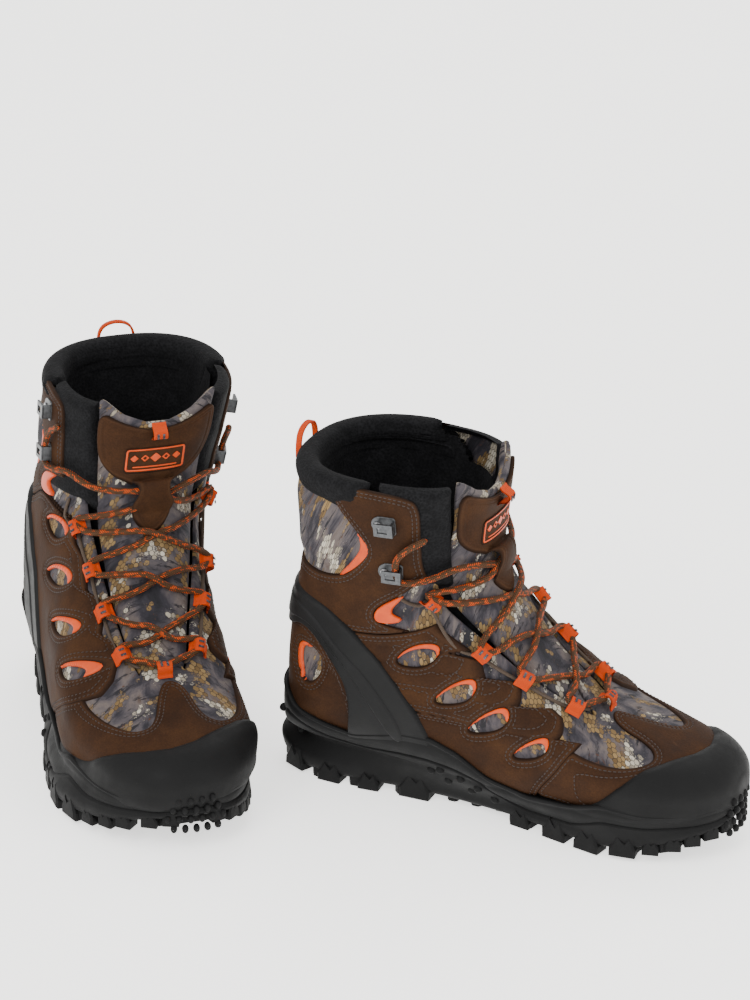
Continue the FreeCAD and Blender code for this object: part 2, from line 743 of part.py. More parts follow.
BOOT_PARTS = {
    "outsole": outsole,
    "midsole": midsole,
    "shank": shank_bar,
    "insole_board": lambda: insole_layer(0.0, 2.4),
    "footbed": lambda: insole_layer(2.6, 7.5),
    "lining": lining,
    "textile_upper": textile_upper,
    "heel_counter": heel_counter,
    "toe_puff": toe_puff,
    "toe_cap": toe_cap,
    "toe_leather": toe_leather,
    "inner_quarter": lambda: quarter(inner_side, LOWER_QUARTER, WINDOWS),
    "outer_quarter": lambda: quarter(outer_side, OUTER_QUARTER, OUTER_WINDOWS),
    "inner_ankle_leather": lambda: ankle_panel(inner_side, ANKLE_PANEL, CRESCENT),
    "outer_ankle_leather": lambda: ankle_panel(outer_side, OUTER_ANKLE_PANEL, OUTER_CRESCENT),
    "heel_leather": heel_leather,
    "heel_strap": heel_strap,
    "window_trims": window_trims,
    "collar_pad": collar_pad,
    "lace_loops": lace_loops,
    "lace_hooks": lace_hooks,
    "hook_rivets": hook_rivets,
    "lace_lower": lace_lower,
    "lace_upper": lace_upper,
    "tongue_base": tongue_base,
    "tongue": tongue,
    "tongue_patch": tongue_patch,
    "tongue_label": tongue_label,
    "tongue_loop": tongue_loop,
    "heel_loop": heel_loop,
}


def stand(shape, heel, yaw):
    """Turns a boot's piece to its yaw and moves its heel to its place on the ground."""
    moved = shape.copy()
    moved.rotate(Vector(0, 0, 0), Vector(0, 0, 1), yaw)
    moved.translate(Vector(heel[0], heel[1], 0))
    return moved


def build_pair():
    pieces = {}
    for name, make in BOOT_PARTS.items():
        piece = make()
        mirrored = piece.mirror(Vector(0, 0, 0), Vector(0, 1, 0))
        pieces["right_" + name] = stand(piece, RIGHT_HEEL, RIGHT_YAW)
        pieces["left_" + name] = stand(mirrored, LEFT_HEEL, LEFT_YAW)
    return pieces


def ground_centre(pieces):
    """The middle of the pair's box on the ground, measured on fine meshes."""
    box = FreeCAD.BoundBox()
    for piece in pieces.values():
        for point in piece.tessellate(0.1)[0]:
            box.add(point)
    print("pair box", box)
    return Vector(-box.Center.x, -box.Center.y, -box.ZMin)


def main():
    os.makedirs("parts", exist_ok=True)
    pieces = build_pair()
    shift = ground_centre(pieces)
    print("shift to the ground centre", shift)
    for name, piece in pieces.items():
        piece.translate(shift)
        print(name, len(piece.Solids), "solids", round(piece.Volume), "mm3", piece.isValid())
        piece.exportStep("parts/" + name + ".step")


main()
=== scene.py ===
import json
import math

import bpy
import numpy as np
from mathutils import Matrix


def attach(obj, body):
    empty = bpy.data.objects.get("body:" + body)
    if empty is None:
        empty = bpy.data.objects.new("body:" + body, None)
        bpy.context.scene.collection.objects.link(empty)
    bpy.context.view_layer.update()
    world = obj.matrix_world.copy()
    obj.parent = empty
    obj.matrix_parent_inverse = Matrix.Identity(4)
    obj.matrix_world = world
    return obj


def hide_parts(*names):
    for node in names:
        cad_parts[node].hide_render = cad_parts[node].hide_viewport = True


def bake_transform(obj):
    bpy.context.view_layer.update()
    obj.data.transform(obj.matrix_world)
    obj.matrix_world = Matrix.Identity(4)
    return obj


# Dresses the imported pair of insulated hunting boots.  Every piece is drawn once, for the right boot,
# in the boot's own frame in millimetres: x forward from the heel, y to the inner side, z up.  It is
# then placed twice, mirrored for the left boot.

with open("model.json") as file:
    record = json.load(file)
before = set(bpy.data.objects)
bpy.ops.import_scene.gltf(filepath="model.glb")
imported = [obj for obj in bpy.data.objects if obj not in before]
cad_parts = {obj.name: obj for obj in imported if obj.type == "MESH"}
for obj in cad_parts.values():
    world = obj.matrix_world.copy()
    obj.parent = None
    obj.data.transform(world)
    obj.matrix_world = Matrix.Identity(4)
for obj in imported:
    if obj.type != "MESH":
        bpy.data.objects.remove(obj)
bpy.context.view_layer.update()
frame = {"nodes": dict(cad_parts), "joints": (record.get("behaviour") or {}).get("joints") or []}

SIDES = ("right", "left")
MM = 0.001

# ---- the upper's skin: the same sections as the CAD source ----
LEAN = 0.11
COLLAR_TOP = 227.0
SECTIONS = [
    (302, 43, 302, 37, 6, 6, 2.3, 3.0),
    (298, 49, 298, 32, 18, 18, 2.3, 3.5),
    (289, 55, 289, 29, 30, 30, 2.3, 4.0),
    (272, 60, 272, 27, 43, 42, 2.3, 4.5),
    (250, 66, 250, 25, 50, 50, 2.3, 5.0),
    (228, 73, 228, 24, 51, 56, 2.3, 5.0),
    (205, 87, 205, 23, 49, 58, 2.3, 5.0),
    (174.5, 114, 152, 25, 46, 56, 2.2, 4.4),
    (157.5, 147, 95, 28, 44, 54, 2.1, 3.8),
    (151, 166.5, 43, 29, 45, 54, 2.15, 3.4),
    (149, 179, 11, 38, 47, 55, 2.25, 3.0),
    (148.5, 188.5, 12, 74, 49, 55, 2.35, 2.7),
    (149.5, 200, 17, 114, 50, 56, 2.4, 2.55),
    (151, 212, 26, 156, 52, 56, 2.5, 2.5),
    (152.5, 223, 28, 192, 54, 57, 2.5, 2.5),
    (155, 236, 28, 236, 56, 57, 2.6, 2.4),
]
LEAST_HALF = 1.5
LAST_PLACE = len(SECTIONS) - 1.0
TOE_TIP = -0.9999                            # the toe closes to a point at place -1
GRID_STEP = 2.0       # spacing of the skin's grid
THROAT = [(79, 15), (86, 20), (108, 27), (127, 32), (146, 36), (178, 41), (210, 46), (240, 50)]
THROAT_BACK = 114.0
TONGUE_HALF = [(79, 14), (86, 19), (108, 26), (127, 30), (146, 33), (178, 35), (210, 37), (240, 40)]

# ---- the sole ----
SOLE_OUTLINE = [
    (306, 8), (301, 28), (286, 42), (262, 51), (235, 54), (205, 48), (170, 40), (130, 35),
    (95, 34), (60, 36), (30, 34), (8, 24), (-2, 4), (6, -22), (28, -36), (60, -42),
    (95, -46), (130, -51), (165, -58), (200, -62), (232, -62), (262, -52), (286, -35), (301, -12),
]
WALL_TOP = [
    (-12, 66), (8, 67), (20, 64), (30, 55), (45, 48), (64, 44), (99, 54), (120, 55), (140, 48),
    (160, 34), (185, 28), (213, 30), (235, 37), (263, 34), (290, 34), (310, 37),
]
WALL_GROOVE = [
    (-12, 20), (2, 22), (12, 40), (20, 50), (28, 46), (36, 39), (48, 35), (70, 33), (95, 36),
    (115, 37), (135, 35), (150, 30), (160, 22), (168, 16), (180, 13), (213, 15), (235, 24),
    (263, 23), (290, 25), (310, 28),
]

# ---- panels, seen from the side as (x, z); 1 is the inner side, -1 the outer ----
WINDOWS = {
    1: [
        [(95, 104), (109, 119.5), (127, 122.5), (125.5, 112), (113, 103)],
        [(118.5, 79), (134, 96.5), (149, 103.5), (151, 95), (142, 84)],
        [(141, 63.5), (155, 80), (170, 88.5), (173.5, 80), (163, 69)],
        [(172, 53.5), (184, 67), (198, 74), (199.5, 65), (188, 56)],
    ],
    -1: [
        [(97, 137), (106, 145), (120, 146), (129, 139), (112, 128.5)],
        [(107, 105), (123, 117.5), (142, 121.5), (151, 115), (133, 105.5)],
        [(136, 84), (153, 94.5), (172, 99), (178, 92.5), (160, 83.5)],
        [(178, 70), (190, 80), (204, 83.5), (209.5, 77), (194, 69)],
    ],
}
REAR_WINDOW = [(30, 106), (44, 106), (51, 96), (42, 78), (31, 76)]
# the lower front of each quarter, and its scalloped edge: distance from the lean line, by height
QUARTER_NOSE = {
    1: [(150, 152), (240, 120), (226, 80), (211, 62), (204, 51), (191, 35), (184, 15)],
    -1: [(150, 155), (240, 125), (232, 84), (221, 66), (206, 58), (186, 46), (168, 36), (160, 15)],
}
QUARTER_EDGE = {
    1: [(50, 0), (66, 30), (72, 44), (82, 33), (87, 32), (88, 41), (99, 33), (102, 34), (103, 40), (114, 37),
        (117, 41), (119, 37), (131, 39), (140, 40)],
    -1: [(50, 0), (60, 24), (68, 42), (76, 31), (86, 25), (91, 26), (94, 34), (106, 30), (111, 32), (113, 39),
         (130, 39), (136, 43), (148, 42), (155, 43)],
}
REAR_EDGE = [(58, 15), (62, 60), (52, 100), (36, 126)]
UPPER_SEAM = {
    1: [(49, 125), (78, 123.5), (102, 126), (121, 133)],
    -1: [(49, 134), (70, 143), (90, 156), (108, 152), (124, 147), (138, 149)],
}
ANKLE_FRONT = [(131, 153), (118, 171), (120, 198), (121.5, 219), (116, 228), (60, 229), (-20, 229)]
LOWER_ANKLE_WINDOW = {
    1: [
        (87, 134), (87, 141), (94, 148), (107, 156), (121, 170), (150, 175), (160, 150), (131, 133),
        (108, 128),
    ],
    -1: [
        (88, 158), (89, 165), (97, 171), (112, 173), (122, 174), (150, 178), (160, 152), (140, 148),
        (124, 150), (110, 154),
    ],
}
REAR_CAMO = [
    (-20, 166), (30, 160), (66, 161), (80, 174), (87, 186), (80, 199), (66, 216), (58, 250), (-20, 250),
]
LOWER_CRESCENT = {
    1: [(87, 134), (87.5, 141), (94, 147.5), (109, 157), (99, 146), (97, 140.5), (106, 136.5), (96, 133)],
    -1: [(88, 157), (89, 165), (97, 171.5), (114, 175), (103, 168), (99, 163), (109, 157.5), (98, 155)],
}
UPPER_CRESCENT = [(63, 160), (80, 172.5), (90, 186), (80, 200), (84, 188), (77, 176)]
STRAP_OUTLINE = [
    (-20, 143), (20, 144), (49, 143), (66, 133), (84, 112), (101, 87), (122, 56), (124, 20),
    (58, 20), (62, 42), (68, 76), (55, 108), (40, 124), (22, 112), (-20, 110),
]
STRAP_CREASE = [
    (-20, 137), (20, 138), (46, 136), (63, 114), (86, 86), (105, 56), (98, 46), (79, 76), (60, 108),
    (44, 128), (20, 120), (-20, 117),
]
HEEL_PANEL = [(-30, 40), (-30, 114), (20, 116), (38, 124), (58, 104), (74, 60), (70, 30)]
# the toe leather seen from above: two camouflage bays either side of its peak
TOE_LEATHER = [
    (178, -75), (178, -52), (204, -51), (222, -49), (238, -43), (252, -34), (261, -24), (258, -13), (232, -6),
    (222, 0), (228, 12), (253, 17), (260, 27), (253, 38), (240, 44), (222, 46), (204, 45), (186, 43),
    (186, 80), (320, 80), (320, -75),
]
# the toe cap's upper edge: x by distance from the lean line, and z by x on each side
CAP_EDGE = [
    (-56, 256), (-40, 270), (-24, 279), (-8, 284), (8, 283), (20, 277), (32, 268), (44, 258), (56, 250),
]
OUTER_CAP_SIDE = [(180, 26), (201, 33), (243, 40), (270, 47), (290, 54)]
INNER_CAP_SIDE = [(215, 28), (233, 40), (243, 49), (257, 57), (290, 62)]

# ---- tongue, seen from the front as (distance from the lean line, z) ----
HINGE = (153.5, 157.0)
TONGUE_RIM = [(-48, 238), (-36, 234), (-24, 226), (-8, 220.5), (8, 220.5), (24, 226), (36, 234), (48, 238)]
TONGUE_PATCH = [
    (-37, 228), (-24, 221), (-8, 215.5), (8, 215.5), (24, 221), (37, 228), (37, 208), (34, 193), (26, 183),
    (14, 178), (8.5, 174), (8.5, 165), (12.5, 161), (12, 156), (4, 147), (-4, 147), (-12, 156), (-12.5, 161),
    (-8.5, 165), (-8.5, 174), (-14, 178), (-26, 183), (-34, 193), (-37, 208),
]
LABEL = (19.0, 184.0, 202.0)      # half width, bottom and top

# ---- lacing: the same route as the CAD source ----
LACE_DIAMETER = 4.2
LACE_LIFT = 3.4
LOOP_LIFT = 7.0
CROSSING_LIFT = 4.8
LOOP_REACH = 5.0
LOOP_ROWS = [(207, 86, 23), (183, 108, 30), (162, 127, 35), (140, 147, 40)]
CENTRE_LOOP = (219, 79)
LOOP_SEAT = 2.3
LOOP_LENGTH = 9.6
TONGUE_LOOP_LENGTH = 9.0
SLOT_RISE = 7.5         # the loops' woven slots stand this far above their feet
HOOKS = {1: [(101, 173), (100, 207)], -1: [(101, 186), (100, 215)]}
HOOK_SEAT = 2.3
# the lace's way round the lower hook: ahead of it, above it, out of the skin
HOOK_ROUTE = [
    (25, -4, 6.6), (12, -8, 6.0), (3.4, -7, 5.7), (2.4, 2, 5.7), (4, 10, 6.0), (11, 19, 6.6), (22, 26, 6.6),
]
TONGUE_LOOP = (153.0, 213.5)
HEEL_TAB = (25.2, 220.0)


# ======================================================================= the skin

COLUMNS = np.array(SECTIONS, float)


def column_slopes():
    """Slopes of every column that never let the curve overshoot its values."""
    steps = np.diff(COLUMNS, axis=0)
    before, after = steps[:-1], steps[1:]
    total = np.where(before + after == 0, 1.0, before + after)
    middle = np.where(before * after > 0, 2 * before * after / total, 0.0)
    return np.vstack([steps[:1], middle, steps[-1:]])


SLOPES = column_slopes()


def section_at(place):
    place = np.maximum(place, 0.0)
    index = np.clip(place.astype(int), 0, len(COLUMNS) - 2)
    share = (place - index)[:, None]
    square, cube = share ** 2, share ** 3
    return (
        (2 * cube - 3 * square + 1) * COLUMNS[index] + (cube - 2 * square + share) * SLOPES[index]
        + (3 * square - 2 * cube) * COLUMNS[index + 1] + (cube - square) * SLOPES[index + 1]
    )


def skin(place, angle, offset=0.0):
    """Points of the upper, offset outwards: angle 0 is the ridge, pi the sole or the heel."""
    place, angle, offset = (np.atleast_1d(np.asarray(v, float)) for v in (place, angle, offset))
    place, angle, offset = np.broadcast_arrays(place, angle, offset)
    near_x, near_z, far_x, far_z, inner, outer, round_near, round_far = section_at(place).T
    along_x, along_z = far_x - near_x, far_z - near_z
    length = np.hypot(along_x, along_z)
    # ahead of the foremost section the toe closes to a point
    beyond = np.clip(-place, 0, 1)
    closing = np.sqrt(1 - beyond ** 2)
    half = np.maximum(length / 2 + offset, LEAST_HALF) * closing
    cosine, sine = np.cos(angle), np.sin(angle)
    power = np.where(cosine >= 0, round_near, round_far)
    reach = (np.abs(cosine) ** power + np.abs(sine) ** power) ** (1 / power)
    width = np.maximum(np.where(sine >= 0, inner, outer) + offset, LEAST_HALF) * closing
    x = (near_x + far_x) / 2 - along_x / length * cosine / reach * half
    z = (near_z + far_z) / 2 - along_z / length * cosine / reach * half
    x = x + np.where(np.abs(near_x - far_x) < 1e-6, offset * np.maximum(near_x - 228, 0) / 74, 0) + beyond
    y = sine / reach * width + LEAN * z
    return np.stack([x, y, z], axis=1)


def outward(place, angle):
    """Unit directions out of the skin."""
    away = skin(place, angle, 3.0) - skin(place, angle, 0.0)
    return away / np.linalg.norm(away, axis=1)[:, None]


class Sheet:
    """Triangles on the skin.  Each point keeps any number of named values."""

    def __init__(self, values, triangles):
        self.values = values
        self.triangles = triangles

    def __getitem__(self, name):
        return self.values[name]

    def with_value(self, name, value):
        return Sheet({**self.values, name: np.asarray(value, float)}, self.triangles)

    def split(self, name, level):
        """Adds points where the value crosses the level, so that no triangle straddles it."""
        side = self.values[name] - level
        side = np.where(np.abs(side) < 1e-4, 1e-4, side)
        count = (side > 0)[self.triangles].sum(1)
        crossing = (count == 1) | (count == 2)
        if not crossing.any():
            return self
        cut = self.triangles[crossing]
        lone = ((side > 0)[cut] == (count[crossing] == 1)[:, None]).argmax(1)
        row = np.arange(len(cut))
        a, b, c = (cut[row, (lone + k) % 3] for k in range(3))
        edges = np.sort(np.vstack([np.stack([a, b], 1), np.stack([a, c], 1)]), axis=1)
        ends, inverse = np.unique(edges, axis=0, return_inverse=True)
        inverse = inverse.ravel() + len(side)
        low, high = ends.T
        share = side[low] / (side[low] - side[high])
        values = {}
        for key, old in self.values.items():
            fresh = old[low] + (old[high] - old[low]) * share
            values[key] = np.concatenate([old, fresh if key != name else np.full(len(low), level)])
        ab, ac = inverse[:len(a)], inverse[len(a):]
        fresh = [np.stack(corners, 1) for corners in ((a, ab, ac), (ab, b, c), (ab, c, ac))]
        return Sheet(values, np.vstack([self.triangles[~crossing]] + fresh))

    def keep(self, name, level=0.0):
        """The part where the value is at least the level."""
        whole = self.split(name, level)
        inside = (whole.values[name] >= level - 1e-6)[whole.triangles].all(1)
        triangles = whole.triangles[inside]
        used, inverse = np.unique(triangles, return_inverse=True)
        values = {key: old[used] for key, old in whole.values.items()}
        return Sheet(values, inverse.reshape(-1, 3))


def grid_triangles(rows, columns):
    index = np.arange(rows * columns).reshape(rows, columns)
    a, b = index[:-1, :-1].ravel(), index[:-1, 1:].ravel()
    c, d = index[1:, 1:].ravel(), index[1:, :-1].ravel()
    return np.vstack([np.stack([a, b, c], 1), np.stack([a, c, d], 1)])


def even_places(first, last, step):
    """Places along the boot whose sections are at most a step apart anywhere."""
    fine = np.linspace(first, last, 2001)
    longest = np.zeros(len(fine) - 1)
    for angle in (0.0, math.pi / 2, math.pi):
        points = skin(fine, angle)
        longest = np.maximum(longest, np.linalg.norm(np.diff(points, axis=0), axis=1))
    travelled = np.concatenate([[0], np.cumsum(longest)])
    count = int(travelled[-1] / step) + 1
    return np.interp(np.linspace(0, travelled[-1], count), travelled, fine)


def base_sheet():
    """The whole skin, with its place in the boot's frame and its own flat map."""
    places = even_places(TOE_TIP, LAST_PLACE, GRID_STEP)
    columns = 2 * int(170 / GRID_STEP) + 1
    angles = np.linspace(-math.pi, math.pi, columns)
    place, angle = (v.ravel() for v in np.meshgrid(places, angles, indexing="ij"))
    points = skin(place, angle).reshape(len(places), columns, 3)
    around = np.concatenate([np.zeros((len(places), 1)),
                             np.cumsum(np.linalg.norm(np.diff(points, axis=1), axis=2), axis=1)], axis=1)
    around -= around[:, columns // 2][:, None]
    along = np.concatenate([np.zeros((1, columns)),
                            np.cumsum(np.linalg.norm(np.diff(points, axis=0), axis=2), axis=0)])
    values = {"place": place, "angle": angle, "u": around.ravel(), "w": along.ravel()}
    x, y, z = points.reshape(-1, 3).T
    values.update(x=x, y=y, z=z, v=y - LEAN * z)
    return Sheet(values, grid_triangles(len(places), columns))


BASE = base_sheet()


# ======================================================================= outlines

def rounded(outline, rounds=3):
    """The outline with its corners cut off again and again."""
    points = np.array(outline, float)
    for _ in range(rounds):
        ahead = np.roll(points, -1, axis=0)
        points = np.stack([points * 0.75 + ahead * 0.25, points * 0.25 + ahead * 0.75], 1).reshape(-1, 2)
    return points


def inside(u, v, outline):
    """Signed distance to a closed outline, positive inside it."""
    points = np.array(outline, float)
    nearest = np.full(len(u), 1e9)
    within = np.zeros(len(u), bool)
    for (x1, y1), (x2, y2) in zip(points, np.roll(points, -1, axis=0)):
        dx, dy = x2 - x1, y2 - y1
        share = np.clip(((u - x1) * dx + (v - y1) * dy) / max(dx * dx + dy * dy, 1e-9), 0, 1)
        nearest = np.minimum(nearest, np.hypot(u - x1 - share * dx, v - y1 - share * dy))
        if y1 != y2:
            within ^= ((y1 > v) != (y2 > v)) & (u < x1 + (v - y1) * dx / dy)
    return np.where(within, nearest, -nearest)


def seen_from_side(sheet, outline, rounds=3):
    return inside(sheet["x"], sheet["z"], rounded(outline, rounds))


def on_each_side(sheet, outlines, rounds=3):
    """Distance inside the outline of the side that the point is on."""
    inner = seen_from_side(sheet, outlines[1], rounds)
    outer = seen_from_side(sheet, outlines[-1], rounds)
    return np.where(sheet["v"] > 0, inner, outer)


def seen_from_front(sheet, outline, rounds=3):
    return inside(sheet["v"], sheet["z"], rounded(outline, rounds))


def by_table(value, table):
    keys, results = zip(*table)
    return np.interp(value, keys, results)


def outside_throat(sheet, inset=0.0):
    """Distance from the gap that the tongue fills; large behind and below it."""
    half = by_table(sheet["z"], THROAT) + inset
    gap = np.abs(sheet["v"]) - half
    low = THROAT[0][1] + THROAT[0][0] - sheet["z"] - np.abs(sheet["v"]) - inset
    front = np.where(sheet["x"] > THROAT_BACK - 10, gap, 1e3)
    return np.maximum(front, np.where(sheet["x"] > THROAT_BACK, low, 1e3))


# ======================================================================= placing pieces

def boot_frame(side):
    """The heel's place on the ground, and the forward and inner directions, from the tongue's joint."""
    joint = next(j for j in frame["joints"] if j["name"] == side + "_tongue_tilt")
    left = np.array(joint["axis"], float)
    forward = np.array([left[1], -left[0], 0.0])
    inner = left if side == "right" else -left
    heel = np.array(joint["pos_m"], float) - forward * HINGE[0] * MM - inner * LEAN * HINGE[1] * MM
    heel[2] = 0.0
    return heel, forward, inner


FRAMES = {side: boot_frame(side) for side in SIDES}


def to_row(side, points):
    heel, forward, inner = FRAMES[side]
    x, y, z = np.asarray(points, float).T * MM
    return heel + x[:, None] * forward + y[:, None] * inner + z[:, None] * np.array([0, 0, 1.0])


def merged(points, faces, places=3):
    """Joins points that lie in the same place."""
    rounded_points = np.round(points, places)
    _, first, inverse = np.unique(rounded_points, axis=0, return_index=True, return_inverse=True)
    inverse = inverse.ravel()
    return first, [inverse[f] for f in faces]


def new_mesh(name, points, faces, uv=None, values=None, smooth=True, flip=False):
    """A Blender mesh from arrays; faces is a list of arrays with 3 or 4 corners a row."""
    faces = [np.asarray(f)[:, ::-1] if flip else np.asarray(f) for f in faces if len(f)]
    mesh = bpy.data.meshes.new(name)
    corners = np.concatenate([f.ravel() for f in faces])
    sizes = np.concatenate([np.full(len(f), f.shape[1]) for f in faces])
    starts = np.concatenate([[0], np.cumsum(sizes)[:-1]])
    mesh.vertices.add(len(points))
    mesh.vertices.foreach_set("co", np.asarray(points, np.float32).ravel())
    mesh.loops.add(len(corners))
    mesh.loops.foreach_set("vertex_index", corners.astype(np.int32))
    mesh.polygons.add(len(sizes))
    mesh.polygons.foreach_set("loop_start", starts.astype(np.int32))
    mesh.polygons.foreach_set("loop_total", sizes.astype(np.int32))
    mesh.polygons.foreach_set("use_smooth", np.full(len(sizes), smooth))
    if uv is not None:
        layer = mesh.uv_layers.new(name="map")
        layer.data.foreach_set("uv", np.asarray(uv, np.float32)[corners].ravel())
    for key, value in (values or {}).items():
        attribute = mesh.attributes.new(key, "FLOAT", "POINT")
        attribute.data.foreach_set("value", np.asarray(value, np.float32))
    mesh.update()
    mesh.validate()
    return mesh


def place_pair(name, points, faces, material, body, replaced=(), uv=None, values=None,
               smooth=True, blend=False, bevel=0.0, sharp=None):
    """Makes the piece for both boots and fastens it to its bodies.  Faces look outwards on the right."""
    made = []
    faces = faces if isinstance(faces, list) else [faces]
    for side in SIDES:
        mesh = new_mesh(side + "_" + name, to_row(side, points), faces, uv, values, smooth, side == "left")
        if sharp is not None:
            mesh.set_sharp_from_angle(angle=math.radians(sharp))
        piece = bpy.data.objects.new(side + "_" + name, mesh)
        bpy.context.scene.collection.objects.link(piece)
        piece.data.materials.append(material)
        if bevel:
            modifier = piece.modifiers.new("edges", "BEVEL")
            modifier.width = bevel * MM
            modifier.segments = 2
            modifier.limit_method = "ANGLE"
            modifier.angle_limit = math.radians(40)
        if blend:
            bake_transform(piece)
        else:
            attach(piece, side + "_" + body)
        if replaced:
            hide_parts(*[side + "_" + node for node in replaced])
        made.append(piece)
    return made


# ======================================================================= panels

def sheet_piece(name, sheet, heights, material, replaced=(), body="boot", blend=False, inwards=False):
    """Turns a sheet on the skin into a piece, at the given heights above the skin."""
    points = skin(sheet["place"], sheet["angle"], heights)
    first, (triangles,) = merged(points, [sheet.triangles])
    good = (triangles[:, 0] != triangles[:, 1]) & (triangles[:, 1] != triangles[:, 2])
    good &= triangles[:, 0] != triangles[:, 2]
    triangles = triangles[good]
    triangles = triangles[:, ::-1] if not inwards else triangles
    uv = np.stack([sheet["u"], sheet["w"]], 1)[first]
    edge = sheet.values.get("f", np.full(len(points), 9.0))[first]
    return place_pair(name, points[first], triangles, material, body, replaced, uv,
                      {"edge": edge}, blend=blend)


def round_edge(field, low, high, reach):
    share = np.clip(field / reach, 0, 1)
    return low + (high - low) * np.sqrt(np.clip(1 - (1 - share) ** 2, 0, 1))


STITCH_POINTS = []          # (middle, direction, outward) of every stitch of the leather
STITCH_SPACING = 3.0
STITCH_LENGTH = 2.3
STITCH_WIDTH = 0.85
STITCH_GROOVE = 0.35


def contour_lines(sheet, name, level):
    """Chains the sheet's edges that lie on a level into lines of point indices."""
    on_line = np.abs(sheet[name] - level) < 1e-6
    triangles = sheet.triangles
    edges = np.vstack([triangles[:, [0, 1]], triangles[:, [1, 2]], triangles[:, [2, 0]]])
    edges = np.unique(np.sort(edges[on_line[edges].all(1)], axis=1), axis=0)
    neighbours = {}
    for a, b in edges.tolist():
        neighbours.setdefault(a, []).append(b)
        neighbours.setdefault(b, []).append(a)
    unused = {frozenset(edge) for edge in edges.tolist()}
    starts = [k for k, near in neighbours.items() if len(near) == 1] + list(neighbours)
    lines = []
    for start in starts:
        line = [start]
        while True:
            onward = [n for n in neighbours[line[-1]] if frozenset((line[-1], n)) in unused]
            if not onward:
                break
            unused.discard(frozenset((line[-1], onward[0])))
            line.append(onward[0])
        if len(line) > 2:
            lines.append(line)
    return lines


def sampled(data, travelled, at):
    """The rows of data at these distances along a line."""
    return np.stack([np.interp(at, travelled, data[:, k]) for k in range(3)], 1)


def add_stitches(sheet, level, height):
    """Stores evenly spaced stitches along the line at this distance from the panel's edge."""
    for line in contour_lines(sheet, "f", level):
        place, angle = sheet["place"][line], sheet["angle"][line]
        points = skin(place, angle, height)
        away = outward(place, angle)
        travelled = np.concatenate([[0], np.cumsum(np.linalg.norm(np.diff(points, axis=0), axis=1))])
        count = int(travelled[-1] / STITCH_SPACING)
        if count < 2:
            continue
        middles = (np.arange(count) + 0.5) * travelled[-1] / count
        direction = sampled(points, travelled, middles + 0.8) - sampled(points, travelled, middles - 0.8)
        direction /= np.linalg.norm(direction, axis=1)[:, None] + 1e-9
        places = sampled(points, travelled, middles)
        STITCH_POINTS.append((places, direction, sampled(away, travelled, middles)))


def panel(name, field, low, high, material, replaced=(), rows=(2.2, 4.6), reach=1.5, puff=0.0,
          puff_reach=7.0):
    """A panel where the field is positive, with rounded edges, puffed middle and rows of stitches."""
    sheet = BASE.with_value("f", field).keep("f")
    for level in (0.08, 0.3, 0.7, 1.0):
        sheet = sheet.split("f", level * reach)
    for row in rows:
        for step in (-0.6, 0.0, 0.6):
            sheet = sheet.split("f", row + step)
    distance = sheet["f"]
    heights = round_edge(distance, low, high, reach)
    share = np.clip((distance - 1.0) / puff_reach, 0, 1)
    heights = heights + puff * share * share * (3 - 2 * share)
    for row in rows:
        heights = heights - STITCH_GROOVE * np.exp(-((distance - row) / 0.5) ** 2)
    pieces = sheet_piece(name, sheet, heights, material, replaced)
    for row in rows:
        share_at_row = min(max((row - 1.0) / puff_reach, 0), 1)
        lifted = puff * share_at_row ** 2 * (3 - 2 * share_at_row)
        add_stitches(sheet, row, high + lifted - STITCH_GROOVE + 0.12)
    return pieces


def capsule(length, width, sides=6):
    """A stitch along x, lying on z = 0, with its ends dipping in."""
    rings = [(-0.5, 0.25, -0.35), (-0.3, 0.85, 0.05), (0.0, 1.0, 0.15), (0.3, 0.85, 0.05), (0.5, 0.25, -0.35)]
    points = []
    for along, size, rise in rings:
        for k in range(sides):
            turn = 2 * math.pi * k / sides
            points.append((along * length, math.cos(turn) * size * width / 2,
                           (math.sin(turn) * size * 0.8 + rise) * width / 2))
    faces = []
    for ring in range(len(rings) - 1):
        for k in range(sides):
            a, b = ring * sides + k, ring * sides + (k + 1) % sides
            faces.append((a, b, b + sides, a + sides))
    return np.array(points), np.array(faces)


def spread_copies(points, faces, middles, along, away):
    """Copies of a small shape: its x goes along, its z away."""
    across = np.cross(away, along)
    across /= np.linalg.norm(across, axis=1)[:, None]
    along = np.cross(across, away)
    along /= np.linalg.norm(along, axis=1)[:, None]
    all_points = (middles[:, None] + points[None, :, 0:1] * along[:, None]
                  + points[None, :, 1:2] * across[:, None] + points[None, :, 2:3] * away[:, None])
    shift = (np.arange(len(middles)) * len(points))[:, None, None]
    return all_points.reshape(-1, 3), (faces[None] + shift).reshape(-1, faces.shape[1])


def stitching():
    """Every stitch of the leather panels, as small rounded threads."""
    middles, along, away = (np.vstack(group) for group in zip(*STITCH_POINTS))
    points, faces = spread_copies(*capsule(STITCH_LENGTH, STITCH_WIDTH), middles, along, away)
    place_pair("panel_stitching", points, faces, THREAD, "boot")


# ======================================================================= materials

def add(tree, kind, inputs=None, **settings):
    """Adds a shader node; an input is a value or another node's socket."""
    node = tree.nodes.new("ShaderNode" + kind)
    for key, value in settings.items():
        setattr(node, key, value)
    for key, value in (inputs or {}).items():
        if isinstance(value, bpy.types.NodeSocket):
            tree.links.new(value, node.inputs[key])
        else:
            node.inputs[key].default_value = value
    return node


def new_material(name, roughness=0.8, **sockets):
    material = bpy.data.materials.new(name)
    material.use_nodes = True
    tree = material.node_tree
    shader = tree.nodes["Principled BSDF"]
    shader.inputs["Roughness"].default_value = roughness
    for key, value in sockets.items():
        shader.inputs[key.replace("_", " ")].default_value = value
    return material, tree, shader


def place_of(tree):
    return add(tree, "TexCoord").outputs["Object"]


def flat_map(tree):
    return add(tree, "UVMap", uv_map="map").outputs["UV"]


